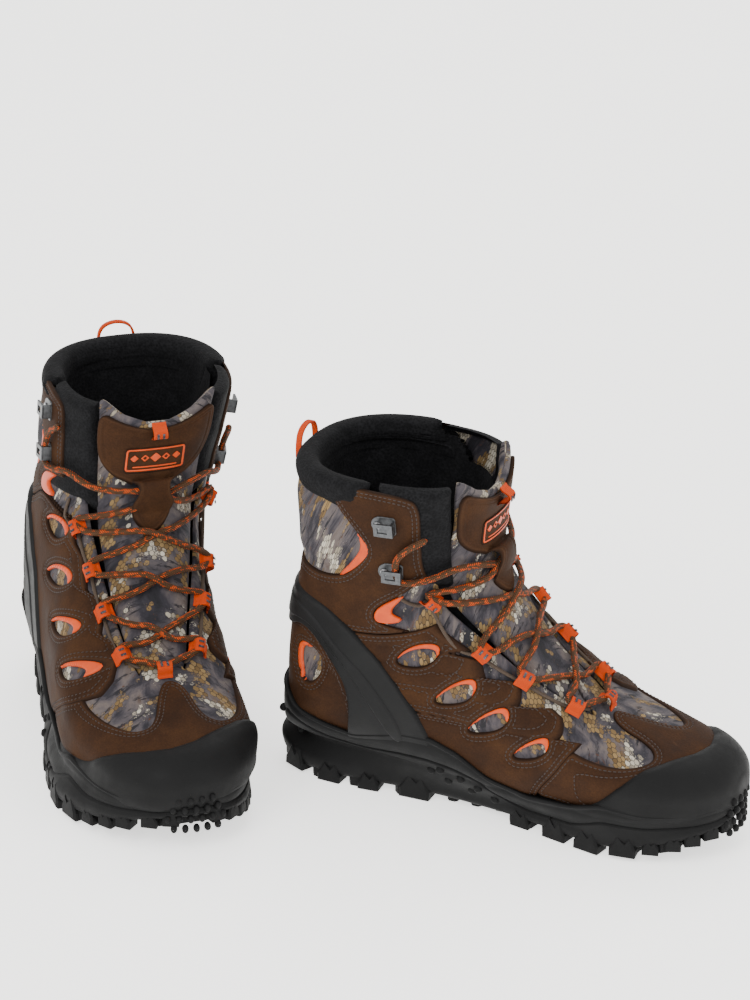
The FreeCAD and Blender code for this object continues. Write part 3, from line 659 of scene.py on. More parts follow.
def noise(tree, where, scale, detail=3.0, roughness=0.55, distortion=0.0):
    node = add(tree, "TexNoise", {"Vector": where, "Scale": scale, "Detail": detail,
                                  "Roughness": roughness, "Distortion": distortion})
    return node.outputs["Fac"]


def ramp(tree, value, *stops):
    """A colour ramp; stops are (position, colour)."""
    node = add(tree, "ValToRGB", {"Fac": value})
    elements = node.color_ramp.elements
    while len(elements) < len(stops):
        elements.new(0.5)
    for element, (position, colour) in zip(elements, stops):
        element.position = position
        element.color = (*colour, 1.0)
    return node.outputs["Color"]


def step(tree, value, low, high):
    """0 below low, 1 above high."""
    return add(tree, "MapRange", {"Value": value, "From Min": low, "From Max": high}).outputs["Result"]


def mixed(tree, share, first, second, kind="MIX"):
    node = add(tree, "MixRGB", {"Fac": share}, blend_type=kind)
    for key, value in (("Color1", first), ("Color2", second)):
        if isinstance(value, bpy.types.NodeSocket):
            tree.links.new(value, node.inputs[key])
        else:
            node.inputs[key].default_value = (*value, 1.0)
    return node.outputs["Color"]


def maths(tree, operation, first, second=0.0, third=0.0):
    node = add(tree, "Math", {0: first, 1: second, 2: third}, operation=operation)
    return node.outputs[0]


def vector_maths(tree, operation, first, second=(0, 0, 0), third=(0, 0, 0), output=0):
    node = tree.nodes.new("ShaderNodeVectorMath")
    node.operation = operation
    for key, value in enumerate((first, second, third)):
        if isinstance(value, bpy.types.NodeSocket):
            tree.links.new(value, node.inputs[key])
        else:
            node.inputs[key].default_value = value
    return node.outputs[output]


def bump(tree, shader, height, strength, distance=0.001):
    node = add(tree, "Bump", {"Height": height, "Strength": strength, "Distance": distance})
    tree.links.new(node.outputs["Normal"], shader.inputs["Normal"])


def edge_of(tree):
    """Distance from the panel's edge, in millimetres."""
    return add(tree, "Attribute", attribute_name="edge").outputs["Fac"]


def nubuck_material():
    """Brown nubuck: mottled, with a fine nap, darker at cut edges and rubbed lighter beside them."""
    material, tree, shader = new_material("nubuck", 0.78, Specular_IOR_Level=0.1)
    where = place_of(tree)
    clouds = noise(tree, where, 38.0, 5.0, 0.6)
    colour = ramp(tree, clouds, (0.28, (0.017, 0.0065, 0.0024)), (0.5, (0.028, 0.0115, 0.0045)),
                  (0.74, (0.044, 0.0190, 0.0076)))
    nap = noise(tree, where, 900.0, 3.0, 0.6)
    colour = mixed(tree, 0.5, colour, ramp(tree, nap, (0.35, (0.62, 0.62, 0.62)), (0.68, (1.3, 1.28, 1.25))),
                   "MULTIPLY")
    scuffs = step(tree, noise(tree, where, 90.0, 6.0, 0.7, 0.6), 0.62, 0.75)
    colour = mixed(tree, maths(tree, "MULTIPLY", scuffs, 0.35), colour, (0.062, 0.029, 0.0125))
    edge = edge_of(tree)
    cut = maths(tree, "SUBTRACT", 1.0, step(tree, edge, 0.15, 1.1))
    colour = mixed(tree, maths(tree, "MULTIPLY", cut, 0.75), colour, (0.010, 0.005, 0.003))
    rub = maths(tree, "MULTIPLY", step(tree, edge, 0.8, 1.6),
                maths(tree, "SUBTRACT", 1.0, step(tree, edge, 1.6, 3.0)))
    colour = mixed(tree, maths(tree, "MULTIPLY", rub, 0.22), colour, (0.066, 0.031, 0.014))
    tree.links.new(colour, shader.inputs["Base Color"])
    tree.links.new(ramp(tree, clouds, (0.3, (0.68,) * 3), (0.7, (0.86,) * 3)), shader.inputs["Roughness"])
    grain = maths(tree, "ADD", maths(tree, "MULTIPLY", nap, 0.5), noise(tree, where, 260.0, 4.0))
    bump(tree, shader, grain, 0.35, 0.0006)
    return material


def hex_cells(tree, where, size):
    """(how near the cell's edge, the cell's own place) of a honeycomb on a flat map."""
    ratio = (1.0, math.sqrt(3.0), 1.0)
    half = (0.5, math.sqrt(3.0) / 2, 0.5)
    spot = vector_maths(tree, "MULTIPLY", where, (1 / size, 1 / size, 0))
    first = vector_maths(tree, "SUBTRACT", vector_maths(tree, "WRAP", spot, ratio, (0, 0, 0)), half)
    moved = vector_maths(tree, "SUBTRACT", spot, half)
    second = vector_maths(tree, "SUBTRACT", vector_maths(tree, "WRAP", moved, ratio, (0, 0, 0)), half)
    flat = (1.0, 1.0, 0.0)
    first, second = (vector_maths(tree, "MULTIPLY", v, flat) for v in (first, second))
    nearer = maths(tree, "LESS_THAN", vector_maths(tree, "LENGTH", first, output=1),
                   vector_maths(tree, "LENGTH", second, output=1))
    chosen = add(tree, "Mix", data_type="VECTOR")
    tree.links.new(nearer, chosen.inputs[0])
    tree.links.new(second, chosen.inputs[4])
    tree.links.new(first, chosen.inputs[5])
    local = chosen.outputs[1]
    away = vector_maths(tree, "ABSOLUTE", local)
    slanted = vector_maths(tree, "DOT_PRODUCT", away, (0.5, math.sqrt(3.0) / 2, 0), output=1)
    straight = add(tree, "SeparateXYZ", {0: away}).outputs[0]
    nearness = maths(tree, "MAXIMUM", slanted, straight)
    return nearness, vector_maths(tree, "SUBTRACT", spot, local)


def camo_material():
    """A printed woven textile: smoky blotches with patches of scales in tan and cream."""
    material, tree, shader = new_material("camo", 0.82, Specular_IOR_Level=0.3)
    where = flat_map(tree)
    wobble = add(tree, "TexNoise", {"Vector": where, "Scale": 0.13, "Detail": 2.0}).outputs["Color"]
    bent = vector_maths(tree, "ADD", where, vector_maths(tree, "SCALE", wobble, (0, 0, 0)))
    bent.node.inputs[1].links[0].from_node.inputs["Scale"].default_value = 3.0
    near_edge, cell = hex_cells(tree, bent, 3.4)
    outline = step(tree, near_edge, 0.41, 0.46)
    smoke = noise(tree, where, 0.038, 5.0, 0.62, 0.8)
    colour = ramp(tree, smoke, (0.30, (0.006, 0.006, 0.008)), (0.42, (0.020, 0.018, 0.024)),
                  (0.52, (0.056, 0.048, 0.053)), (0.62, (0.105, 0.085, 0.078)), (0.78, (0.040, 0.018, 0.010)))
    streaks = noise(tree, vector_maths(tree, "MULTIPLY", where, (0.5, 2.2, 1.0)), 0.09, 6.0, 0.7)
    colour = mixed(tree, step(tree, streaks, 0.55, 0.60), colour, (0.011, 0.010, 0.013))
    colour = mixed(tree, step(tree, noise(tree, where, 0.06, 7.0, 0.75, 1.5), 0.60, 0.64), colour,
                   (0.060, 0.024, 0.011))
    cell_tone = add(tree, "TexWhiteNoise", {"Vector": cell}, noise_dimensions="2D").outputs["Value"]
    ragged = maths(tree, "MULTIPLY_ADD", noise(tree, where, 0.9, 3.0), 0.10, -0.05)
    for scale, shift, low, dark, light in (
            (0.040, 31.0, 0.545, (0.085, 0.048, 0.016), (0.21, 0.135, 0.055)),
            (0.036, 77.0, 0.585, (0.20, 0.17, 0.125), (0.46, 0.42, 0.34))):
        spot = vector_maths(tree, "ADD", vector_maths(tree, "SCALE", cell), (shift, shift, 0))
        spot.node.inputs[0].links[0].from_node.inputs["Scale"].default_value = 3.4
        patch = maths(tree, "ADD", noise(tree, spot, scale, 3.0, 0.6), ragged)
        scales = mixed(tree, cell_tone, dark, light)
        scales = mixed(tree, maths(tree, "MULTIPLY", outline, 0.85), scales, (0.010, 0.008, 0.006))
        colour = mixed(tree, step(tree, patch, low, low + 0.015), colour, scales)
    colour = mixed(tree, maths(tree, "MULTIPLY", outline, 0.10), colour, (0.02, 0.018, 0.02))
    weave = add(tree, "TexWave", {"Vector": where, "Scale": 1.1, "Distortion": 0.3}, bands_direction="X")
    weft = add(tree, "TexWave", {"Vector": where, "Scale": 1.1, "Distortion": 0.3}, bands_direction="Y")
    cloth = maths(tree, "MULTIPLY", weave.outputs["Fac"], weft.outputs["Fac"])
    colour = mixed(tree, 0.22, colour, ramp(tree, cloth, (0.0, (0.7,) * 3), (0.8, (1.25,) * 3)), "MULTIPLY")
    tree.links.new(colour, shader.inputs["Base Color"])
    bump(tree, shader, cloth, 0.3, 0.0004)
    return material


def rubber_material(name, tone=0.0024, roughness=0.66):
    """Moulded black rubber with a fine matt texture and a little dust."""
    material, tree, shader = new_material(name, roughness, Specular_IOR_Level=0.17)
    where = place_of(tree)
    cloud = noise(tree, where, 60.0, 5.0, 0.65)
    dark = (tone * 0.72, tone * 0.74, tone * 0.80)
    light = (tone * 1.7, tone * 1.72, tone * 1.80)
    colour = ramp(tree, cloud, (0.3, dark), (0.75, light))
    specks = step(tree, noise(tree, where, 700.0, 2.0), 0.68, 0.78)
    colour = mixed(tree, maths(tree, "MULTIPLY", specks, 0.2), colour, (0.025, 0.024, 0.023))
    tree.links.new(colour, shader.inputs["Base Color"])
    tree.links.new(ramp(tree, cloud, (0.3, (roughness - 0.08,) * 3), (0.7, (roughness + 0.12,) * 3)),
                   shader.inputs["Roughness"])
    bump(tree, shader, noise(tree, where, 1400.0, 3.0), 0.22, 0.0004)
    return material


def orange_plastic_material():
    material, tree, shader = new_material("orange_edging", 0.45, Specular_IOR_Level=0.3)
    where = place_of(tree)
    mottle = noise(tree, where, 160.0, 3.0)
    colour = ramp(tree, mottle, (0.3, (0.42, 0.036, 0.0)), (0.7, (0.54, 0.056, 0.0008)))
    tree.links.new(colour, shader.inputs["Base Color"])
    bump(tree, shader, noise(tree, where, 900.0, 2.0), 0.12, 0.0003)
    return material


def webbing_material(name, dark, light, pitch=1.5):
    """Woven tape: ribs along and across on the piece's flat map, in millimetres."""
    material, tree, shader = new_material(name, 0.8, Specular_IOR_Level=0.2)
    where = flat_map(tree)
    across = add(tree, "TexWave", {"Vector": where, "Scale": 1 / pitch / 2, "Distortion": 0.4},
                 bands_direction="X").outputs["Fac"]
    along = add(tree, "TexWave", {"Vector": where, "Scale": 1 / pitch, "Distortion": 0.4},
                bands_direction="Y").outputs["Fac"]
    ribs = maths(tree, "MULTIPLY", across, along)
    fuzz = noise(tree, where, 2.5, 3.0)
    colour = ramp(tree, maths(tree, "MULTIPLY_ADD", fuzz, 0.5, maths(tree, "MULTIPLY", ribs, 0.6)),
                  (0.15, dark), (0.62, light))
    tree.links.new(colour, shader.inputs["Base Color"])
    bump(tree, shader, ribs, 0.5, 0.0005)
    return material


def lace_material():
    """A round braid: strands crossing in diamonds, brown with orange flecks."""
    material, tree, shader = new_material("lace_braid", 0.75, Specular_IOR_Level=0.2)
    where = flat_map(tree)
    strands = []
    for lean in (1.0, -1.0):
        turned = add(tree, "Mapping", {"Vector": where, "Rotation": (0, 0, lean * math.radians(38))})
        wave = add(tree, "TexWave", {"Vector": turned.outputs[0], "Scale": 0.27, "Distortion": 0.5},
                   bands_direction="X")
        strands.append(wave.outputs["Fac"])
    braid = maths(tree, "MAXIMUM", *strands)
    fuzz = noise(tree, where, 3.0, 2.0)
    colour = ramp(tree, braid, (0.35, (0.012, 0.006, 0.003)), (0.8, (0.075, 0.033, 0.012)))
    colour = mixed(tree, 0.4, colour, ramp(tree, fuzz, (0.3, (0.6,) * 3), (0.7, (1.4,) * 3)), "MULTIPLY")
    stretched = vector_maths(tree, "MULTIPLY", where, (0.20, 0.55, 0.0))
    fleck = noise(tree, stretched, 1.0, 1.0)
    flecks = maths(tree, "MULTIPLY", step(tree, fleck, 0.54, 0.58), step(tree, strands[0], 0.45, 0.7))
    colour = mixed(tree, flecks, colour, (0.62, 0.075, 0.004))
    tree.links.new(colour, shader.inputs["Base Color"])
    bump(tree, shader, braid, 0.8, 0.0008)
    return material


def knit_material(name, dark, light, scale=1500.0):
    material, tree, shader = new_material(name, 0.92, Specular_IOR_Level=0.15)
    where = place_of(tree)
    knit = add(tree, "TexVoronoi", {"Vector": where, "Scale": scale * 0.45}).outputs["Distance"]
    mottle = noise(tree, where, 120.0, 4.0)
    colour = ramp(tree, maths(tree, "MULTIPLY", knit, mottle), (0.1, dark), (0.5, light))
    tree.links.new(colour, shader.inputs["Base Color"])
    bump(tree, shader, knit, 0.5, 0.0006)
    return material


def metal_material(name, tone, roughness=0.38):
    material, tree, shader = new_material(name, roughness, Metallic=0.9)
    where = place_of(tree)
    wear = noise(tree, where, 420.0, 5.0, 0.7)
    colour = ramp(tree, wear, (0.35, tuple(c * 0.7 for c in tone)), (0.7, tuple(c * 1.35 for c in tone)))
    tree.links.new(colour, shader.inputs["Base Color"])
    tree.links.new(ramp(tree, wear, (0.3, (roughness - 0.1,) * 3), (0.7, (roughness + 0.15,) * 3)),
                   shader.inputs["Roughness"])
    bump(tree, shader, noise(tree, where, 1600.0, 2.0), 0.1, 0.0002)
    return material


def thread_material(name, colour):
    material, tree, shader = new_material(name, 0.7)
    fuzz = noise(tree, place_of(tree), 2600.0, 2.0)
    dark, light = (tuple(c * share for c in colour) for share in (0.55, 1.5))
    tree.links.new(ramp(tree, fuzz, (0.3, dark), (0.7, light)), shader.inputs["Base Color"])
    return material


NUBUCK = nubuck_material()
CAMO = camo_material()
RUBBER = rubber_material("sole_rubber")
MOULDED = rubber_material("moulded_strap", 0.003, 0.55)
ORANGE = orange_plastic_material()
ORANGE_WEB = webbing_material("orange_webbing", (0.28, 0.018, 0.0), (0.56, 0.056, 0.001))
TAUPE = webbing_material("taupe_cord", (0.028, 0.019, 0.014), (0.10, 0.072, 0.052), 0.9)
LACE = lace_material()
LINING = knit_material("black_lining", (0.002, 0.002, 0.0024), (0.008, 0.008, 0.009))
FELT = knit_material("footbed_felt", (0.008, 0.008, 0.009), (0.03, 0.03, 0.032), 900.0)
DARK_METAL = metal_material("dark_nickel", (0.085, 0.088, 0.092))
BRIGHT_METAL = metal_material("rivet_steel", (0.30, 0.30, 0.31), 0.3)
SLOT_GREY = knit_material("slot_weave", (0.012, 0.012, 0.014), (0.10, 0.095, 0.10), 2200.0)
THREAD = thread_material("brown_thread", (0.020, 0.011, 0.008))
BOARD = knit_material("fibre_board", (0.25, 0.18, 0.10), (0.55, 0.42, 0.27), 700.0)
PALE_SHEET = knit_material("stiffener_sheet", (0.5, 0.47, 0.40), (0.75, 0.72, 0.64), 700.0)


# ======================================================================= finding places on the skin

def nearest_spot(x, z, side, short):
    """(place, angle) of the skin nearest (x, z), where a point stops being short of the goal."""
    place = np.arange(60, 300) / 20.0
    low, high = np.zeros(len(place)), np.full(len(place), side * math.pi / 2)
    for _ in range(18):
        angle = (low + high) / 2
        points = skin(place, angle)
        falls_short = short(points)
        low, high = np.where(falls_short, angle, low), np.where(falls_short, high, angle)
    best = np.hypot(points[:, 0] - x, points[:, 2] - z).argmin()
    return place[best], angle[best]


def skin_spot(x, z, v):
    """(place, angle) of the skin nearest (x, z) at the distance v from the lean line."""
    side = -1 if v < 0 else 1
    return nearest_spot(x, z, side, lambda points: np.abs(points[:, 1] - LEAN * points[:, 2]) < abs(v))


def side_spot(x, z, side):
    """(place, angle) on the inner (1) or outer (-1) side whose side view is (x, z)."""
    return nearest_spot(x, z, side, lambda points: points[:, 0] > x)


def square_out(spot):
    """The direction that stands square on the skin."""
    place, angle = spot
    round_it = skin(place, angle + 0.02)[0] - skin(place, angle - 0.02)[0]
    up_it = skin(place + 0.1, angle)[0] - skin(place - 0.1, angle)[0]
    away = np.cross(round_it, up_it)
    return away / np.linalg.norm(away)


def skin_at(x, z, v, lift):
    return skin(*skin_spot(x, z, v), lift)[0]


def skin_outward(x, z, v):
    return square_out(skin_spot(x, z, v))


def place_at_height(angle, height):
    """The place where the skin reaches this height, for each angle."""
    low, high = np.full(len(angle), 8.0), np.full(len(angle), LAST_PLACE + 1.0)
    for _ in range(24):
        middle = (low + high) / 2
        short = skin(middle, angle)[:, 2] < height
        low, high = np.where(short, middle, low), np.where(short, high, middle)
    return middle


# ======================================================================= upper

def side_field(sheet, outline, side):
    """Signed distance to an outline seen from the side, on the inner (1) or outer (-1) half only."""
    return np.minimum(seen_from_side(sheet, outline), side * sheet["v"])


def above_wall(sheet, margin):
    return sheet["z"] - by_table(sheet["x"], WALL_TOP) + margin


def cut_out(field, *holes):
    for hole in holes:
        field = np.minimum(field, -hole)
    return field


def quarter_field(side):
    """Distance inside a quarter, behind its scalloped edge beside the tongue."""
    outline = REAR_EDGE + UPPER_SEAM[side] + QUARTER_NOSE[side]
    behind_edge = np.abs(BASE["v"]) - by_table(BASE["z"], QUARTER_EDGE[side])
    return np.minimum(side_field(BASE, outline, side), 0.8 * behind_edge)


def textile_shell():
    field = np.minimum(outside_throat(BASE), above_wall(BASE, 10.0))
    field = np.minimum(field, COLLAR_TOP - 2.0 - BASE["z"])
    sheet = BASE.with_value("f", field).keep("f")
    for level in (0.5, 1.2, 2.0):
        sheet = sheet.split("f", level)
    heights = round_edge(sheet["f"], -2.4, -0.15, 2.0)
    sheet_piece("camo_shell", sheet, heights, CAMO, ["textile_upper"])


def quarters():
    for side, word in ((1, "inner"), (-1, "outer")):
        windows = [seen_from_side(BASE, outline) for outline in WINDOWS[side]]
        field = np.minimum(cut_out(quarter_field(side), *windows), above_wall(BASE, 8.0))
        panel(word + "_quarter_leather", field, -0.1, 2.2, NUBUCK, [word + "_quarter"], puff=0.9)


def ankles():
    for side, word in ((1, "inner"), (-1, "outer")):
        outline = [(-20, 112), (36, 127)] + UPPER_SEAM[side] + ANKLE_FRONT
        field = cut_out(seen_from_side(BASE, outline), seen_from_side(BASE, LOWER_ANKLE_WINDOW[side]),
                        seen_from_side(BASE, REAR_CAMO))
        # the two halves meet at the back, without a seam
        field = np.minimum(field, side * BASE["v"] + (0.3 if side > 0 else 0.0))
        panel(word + "_ankle_panel", field, -0.1, 2.1, NUBUCK, [word + "_ankle_leather"], puff=0.7)


def heel_panel():
    field = cut_out(seen_from_side(BASE, HEEL_PANEL), seen_from_side(BASE, REAR_WINDOW))
    field = np.minimum(field, above_wall(BASE, 8.0))
    panel("heel_panel", field, -0.1, 2.0, NUBUCK, ["heel_leather"], puff=0.6)


def softly_joined(first, second, reach):
    """The larger of two fields, with a round change from one to the other."""
    near = np.clip(1 - np.abs(first - second) / reach, 0, 1)
    return np.maximum(first, second) + near ** 2 * reach / 4


def cap_field(sheet):
    """Distance inside the toe cap: ahead of its curved edge on top, below its line at the sides."""
    ahead = sheet["x"] - by_table(sheet["v"], CAP_EDGE)
    share = np.clip((sheet["v"] + 25) / 50, 0, 1)
    share = share * share * (3 - 2 * share)
    line = (by_table(sheet["x"], OUTER_CAP_SIDE) * (1 - share) + by_table(sheet["x"], INNER_CAP_SIDE) * share)
    return softly_joined(ahead, np.where(sheet["x"] > 170, line - sheet["z"], -1e3), 16.0)


def toe_panel():
    field = inside(BASE["x"], BASE["v"], rounded(TOE_LEATHER))
    for side in (1, -1):
        field = np.minimum(field, 1.0 - quarter_field(side))
    field = np.minimum(field, np.minimum(above_wall(BASE, 8.0), 6.0 - cap_field(BASE)))
    panel("toe_panel", field, -0.1, 1.7, NUBUCK, ["toe_leather"], puff=0.7)


def toe_cap():
    field = np.minimum(cap_field(BASE), above_wall(BASE, 9.0))
    panel("toe_bumper", field, -0.1, 4.6, RUBBER, ["toe_cap"], rows=(), reach=3.2, puff=0.5)


def strap():
    field = np.minimum(seen_from_side(BASE, STRAP_OUTLINE), above_wall(BASE, 6.0))
    panel("heel_arm", field, 1.0, 5.2, MOULDED, ["heel_strap"], rows=(), reach=1.6)
    crease = np.minimum(seen_from_side(BASE, STRAP_CREASE), above_wall(BASE, 4.0))
    panel("heel_arm_rib", crease, 4.4, 6.0, MOULDED, rows=(), reach=2.0)


def collar_camo():
    field = np.minimum(seen_from_side(BASE, REAR_CAMO), COLLAR_TOP - 4.0 - BASE["z"])
    panel("collar_textile", field, -0.2, 0.8, CAMO, ["collar_pad"], rows=(), reach=2.0,
          puff=2.6, puff_reach=16.0)


def rim_field(outline, shift):
    """The part of a window that its own copy, moved by the shift, leaves free."""
    whole = seen_from_side(BASE, outline)
    moved = inside(BASE["x"] - shift[0], BASE["z"] - shift[1], rounded(outline))
    return np.minimum(whole + 0.5, -moved)


def edgings():
    """Bright rims along the upper and front edge of each window, and the bright crescents."""
    field = rim_field(REAR_WINDOW, (2.6, -1.6))
    for side in (1, -1):
        for outline in WINDOWS[side]:
            rim = np.minimum(rim_field(outline, (-2.0, -3.3)), side * BASE["v"])
            field = np.maximum(field, rim)
    panel("window_edging", field, 0.2, 2.3, ORANGE, ["window_trims"], rows=(), reach=1.0)
    crescents = np.maximum(on_each_side(BASE, LOWER_CRESCENT, 2), seen_from_side(BASE, UPPER_CRESCENT, 2))
    panel("crescents", crescents + 0.4, 0.0, 2.4, ORANGE, rows=(), reach=1.3)


def throat_lining():
    """The black padded edge between the leather and the tongue."""
    beyond = np.abs(BASE["v"]) - by_table(BASE["z"], THROAT)
    field = np.minimum(np.minimum(beyond + 8.0, 24.0 - beyond), BASE["z"] - 160)
    field = np.minimum(field, np.minimum(COLLAR_TOP + 4 - BASE["z"], BASE["x"] - 95))
    panel("throat_padding", field, -8.0, 0.4, LINING, rows=(), reach=6.0)


def inner_lining():
    behind_tongue = (np.abs(BASE["v"]) < by_table(BASE["z"], THROAT) + 8) & (BASE["x"] > 100)
    top = np.where(behind_tongue, 212.0, 226.0)
    sheet = BASE.with_value("f", np.minimum(BASE["z"] - 47.0, top - BASE["z"])).keep("f")
    heights = -10.0 + 0.6 * np.sin(sheet["w"] / 9.0) * np.clip((sheet["z"] - 120) / 30, 0, 1)
    sheet_piece("lining_inside", sheet, heights, LINING, ["lining"], inwards=True)


COLLAR_PROFILE = [
    (208, -1.0), (213, 0.6), (218, 2.6), (222, 3.5), (226, 3.6), (229, 2.6), (231, 0.6), (231.8, -2.0),
    (231.8, -5.0), (231, -7.6), (229, -9.6), (225, -10.8), (219, -11.0), (211, -10.4),
]


def collar_roll():
    """The padded rim round the top, from one side of the throat to the other."""
    columns = 150
    rows = []
    for height, offset in rounded_profile(COLLAR_PROFILE):
        edges = []
        for side in (1, -1):
            goal = float(by_table(height, THROAT)) + 9.0
            angles = np.linspace(0.3, 1.9, 400) * side
            points = skin(place_at_height(angles, height), angles)
            edges.append(angles[np.abs(np.abs(points[:, 1] - LEAN * points[:, 2]) - goal).argmin()])
        turn = np.linspace(edges[0], 2 * math.pi + edges[1], columns)
        angles = np.where(turn > math.pi, turn - 2 * math.pi, turn)
        swell = np.clip(np.minimum(np.arange(columns), np.arange(columns)[::-1]) / 6.0, 0, 1) ** 0.5
        centre = -3.7
        rows.append(skin(place_at_height(angles, height), angles, centre + (offset - centre) * swell))
    points = np.vstack(rows)
    uv = np.stack(np.meshgrid(np.arange(columns) * 2.0, np.arange(len(rows)) * 1.5), -1).reshape(-1, 2)
    pieces = place_pair("collar_roll", points, grid_triangles(len(rows), columns), LINING, "boot",
                        uv=uv)


def rounded_profile(profile, rounds=2):
    """An open line with its corners cut off."""
    points = np.array(profile, float)
    for _ in range(rounds):
        inner = np.stack([points[:-1] * 0.75 + points[1:] * 0.25, points[:-1] * 0.25 + points[1:] * 0.75], 1)
        points = np.vstack([points[:1], inner.reshape(-1, 2), points[-1:]])
    return points


# ======================================================================= tongue

RIB_SEAMS = [5.2, 5.95, 6.6, 7.15, 7.7, 8.3]      # places of the tongue's sewn folds


def tongue_height(sheet, distance):
    """The padded front of the tongue: rounded sides and soft ribs between its folds."""
    sagging = sheet["place"] + 0.05 * (np.abs(sheet["v"]) / 20) ** 2
    ribs = np.interp(sagging, RIB_SEAMS, np.arange(len(RIB_SEAMS)))
    swell = np.sqrt(np.abs(np.sin(math.pi * (ribs % 1.0)))) * (ribs < len(RIB_SEAMS) - 1)
    return round_edge(distance, -4.2, -1.2, 5.0) + 1.0 * swell * np.clip(distance / 8, 0, 1)


def tongue():
    inner = np.minimum(-outside_throat(BASE, 1.0), by_table(BASE["z"], TONGUE_HALF) - np.abs(BASE["v"]))
    inner = np.where(BASE["x"] > THROAT_BACK - 12, inner, -1e3)
    rim = by_table(BASE["v"], TONGUE_RIM) - BASE["z"]
    sheet = BASE.with_value("f", np.minimum(np.minimum(inner, rim), BASE["z"] - 79)).keep("f")
    for level in (0.4, 1.2, 2.5, 4.0, 5.0):
        sheet = sheet.split("f", level)
    front = skin(sheet["place"], sheet["angle"], tongue_height(sheet, sheet["f"]))
    back = skin(sheet["place"], sheet["angle"], round_edge(sheet["f"], -4.2, -7.6, 4.0))
    count = len(front)
    triangles = np.vstack([sheet.triangles[:, ::-1], sheet.triangles + count])
    points = np.vstack([front, back])
    first, (triangles,) = merged(points, [triangles])
    flat = np.stack([sheet["u"], sheet["w"]], 1)
    uv = np.vstack([flat, flat + 40.0])[first]
    pieces = place_pair("tongue_padding", points[first], triangles, CAMO, "tongue",
                        ["tongue", "tongue_base"], uv, blend=True)


KEEPER = (168.5, 5.5, 9.6)      # height, half length and rise of the patch's lace keeper


def keeper_lift(sheet):
    height, half, rise = KEEPER
    near = np.clip(1 - np.abs(sheet["z"] - height) / (half * 1.8), 0, 1)
    return rise * np.sqrt(near * (2 - near)) * (np.abs(sheet["v"]) < 13)


def patch_field(sheet):
    return np.where(sheet["x"] > THROAT_BACK, seen_from_front(sheet, TONGUE_PATCH, 2), -1e3)


def tongue_patch():
    sheet = BASE.with_value("f", patch_field(BASE)).keep("f")
    rows = (2.0, 4.2)
    for level in (0.15, 0.5, 1.0, 1.4):
        sheet = sheet.split("f", level)
    for row in rows:
        for step_away in (-0.6, 0.0, 0.6):
            sheet = sheet.split("f", row + step_away)
    lift = keeper_lift(sheet)
    heights = round_edge(sheet["f"], -0.9, 1.7, 1.4) + lift
    for row in rows:
        heights = heights - STITCH_GROOVE * np.exp(-((sheet["f"] - row) / 0.5) ** 2)
    sheet_piece("tongue_leather", sheet, heights, NUBUCK, ["tongue_patch"], blend=True)


def rounded_box_field(sheet, half_width, low, high, corner=3.0):
    """Distance inside a rectangle with round corners, seen from the front."""
    middle, half = (low + high) / 2, (high - low) / 2
    dx = np.abs(sheet["v"]) - (half_width - corner)
    dz = np.abs(sheet["z"] - middle) - (half - corner)
    beyond = np.hypot(np.maximum(dx, 0), np.maximum(dz, 0)) + np.minimum(np.maximum(dx, dz), 0)
    return np.where(sheet["x"] > THROAT_BACK, corner - beyond, -1e3)


def label():
    """A plain woven badge: a border, a line and a row of diamonds."""
    width, low, high = LABEL
    whole = rounded_box_field(FINE_FRONT, width, low, high)
    fine_panel("badge", whole, 1.6, 2.7, NUBUCK, ["tongue_label"], reach=0.8)
    border = np.minimum(whole - 1.1, 2.3 - whole)
    middle = (low + high) / 2
    shapes = [border]
    for k in range(-2, 3):
        centre = 6.4 * k
        size = 3.4 if k == 0 else 2.6
        diamond = size - np.abs(FINE_FRONT["v"] - centre) - np.abs(FINE_FRONT["z"] - middle - 1.2)
        shapes.append(np.minimum(diamond, 1.3 - diamond) if k % 2 else diamond)
    line = np.minimum(0.5 - np.abs(FINE_FRONT["z"] - middle + 5.0), 13.5 - np.abs(FINE_FRONT["v"]))
    shapes.append(line)
    marks = np.where(FINE_FRONT["x"] > THROAT_BACK, np.maximum.reduce(shapes), -1e3)
    fine_panel("badge_marks", marks, 2.5, 3.1, ORANGE, reach=0.3)


def fine_front_sheet():
    """A finer grid of the skin where the label sits."""
    places = np.linspace(9.3, 13.6, 110)
    angles = np.linspace(-0.75, 0.75, 130)
    place, angle = (v.ravel() for v in np.meshgrid(places, angles, indexing="ij"))
    x, y, z = skin(place, angle).T
    values = {"place": place, "angle": angle, "x": x, "y": y, "z": z, "v": y - LEAN * z,
              "u": y, "w": z}
    return Sheet(values, grid_triangles(len(places), len(angles)))


FINE_FRONT = fine_front_sheet()


def fine_panel(name, field, low, high, material, replaced=(), reach=1.0):
    sheet = FINE_FRONT.with_value("f", field).keep("f")
    for level in (0.2, 0.6, 1.0):
        sheet = sheet.split("f", level * reach)
    heights = round_edge(sheet["f"], low, high, reach)
    sheet_piece(name, sheet, heights, material, replaced, body="tongue")


# ======================================================================= lacing

def loop_place(row, side, lift):
    x, z, half = row
    return skin_at(x, z, side * half, lift)


def loop_tangent(row, side):
    index = LOOP_ROWS.index(row)
    ahead = loop_place(LOOP_ROWS[min(index + 1, len(LOOP_ROWS) - 1)], side, LOOP_LIFT)
    behind = loop_place(LOOP_ROWS[max(index - 1, 0)], side, LOOP_LIFT)
    return (ahead - behind) / np.linalg.norm(ahead - behind)


def loop_passage(row, side):
    centre = loop_place(row, side, LOOP_LIFT)
    along = loop_tangent(row, side) * LOOP_REACH
    return [centre - along, centre + along]


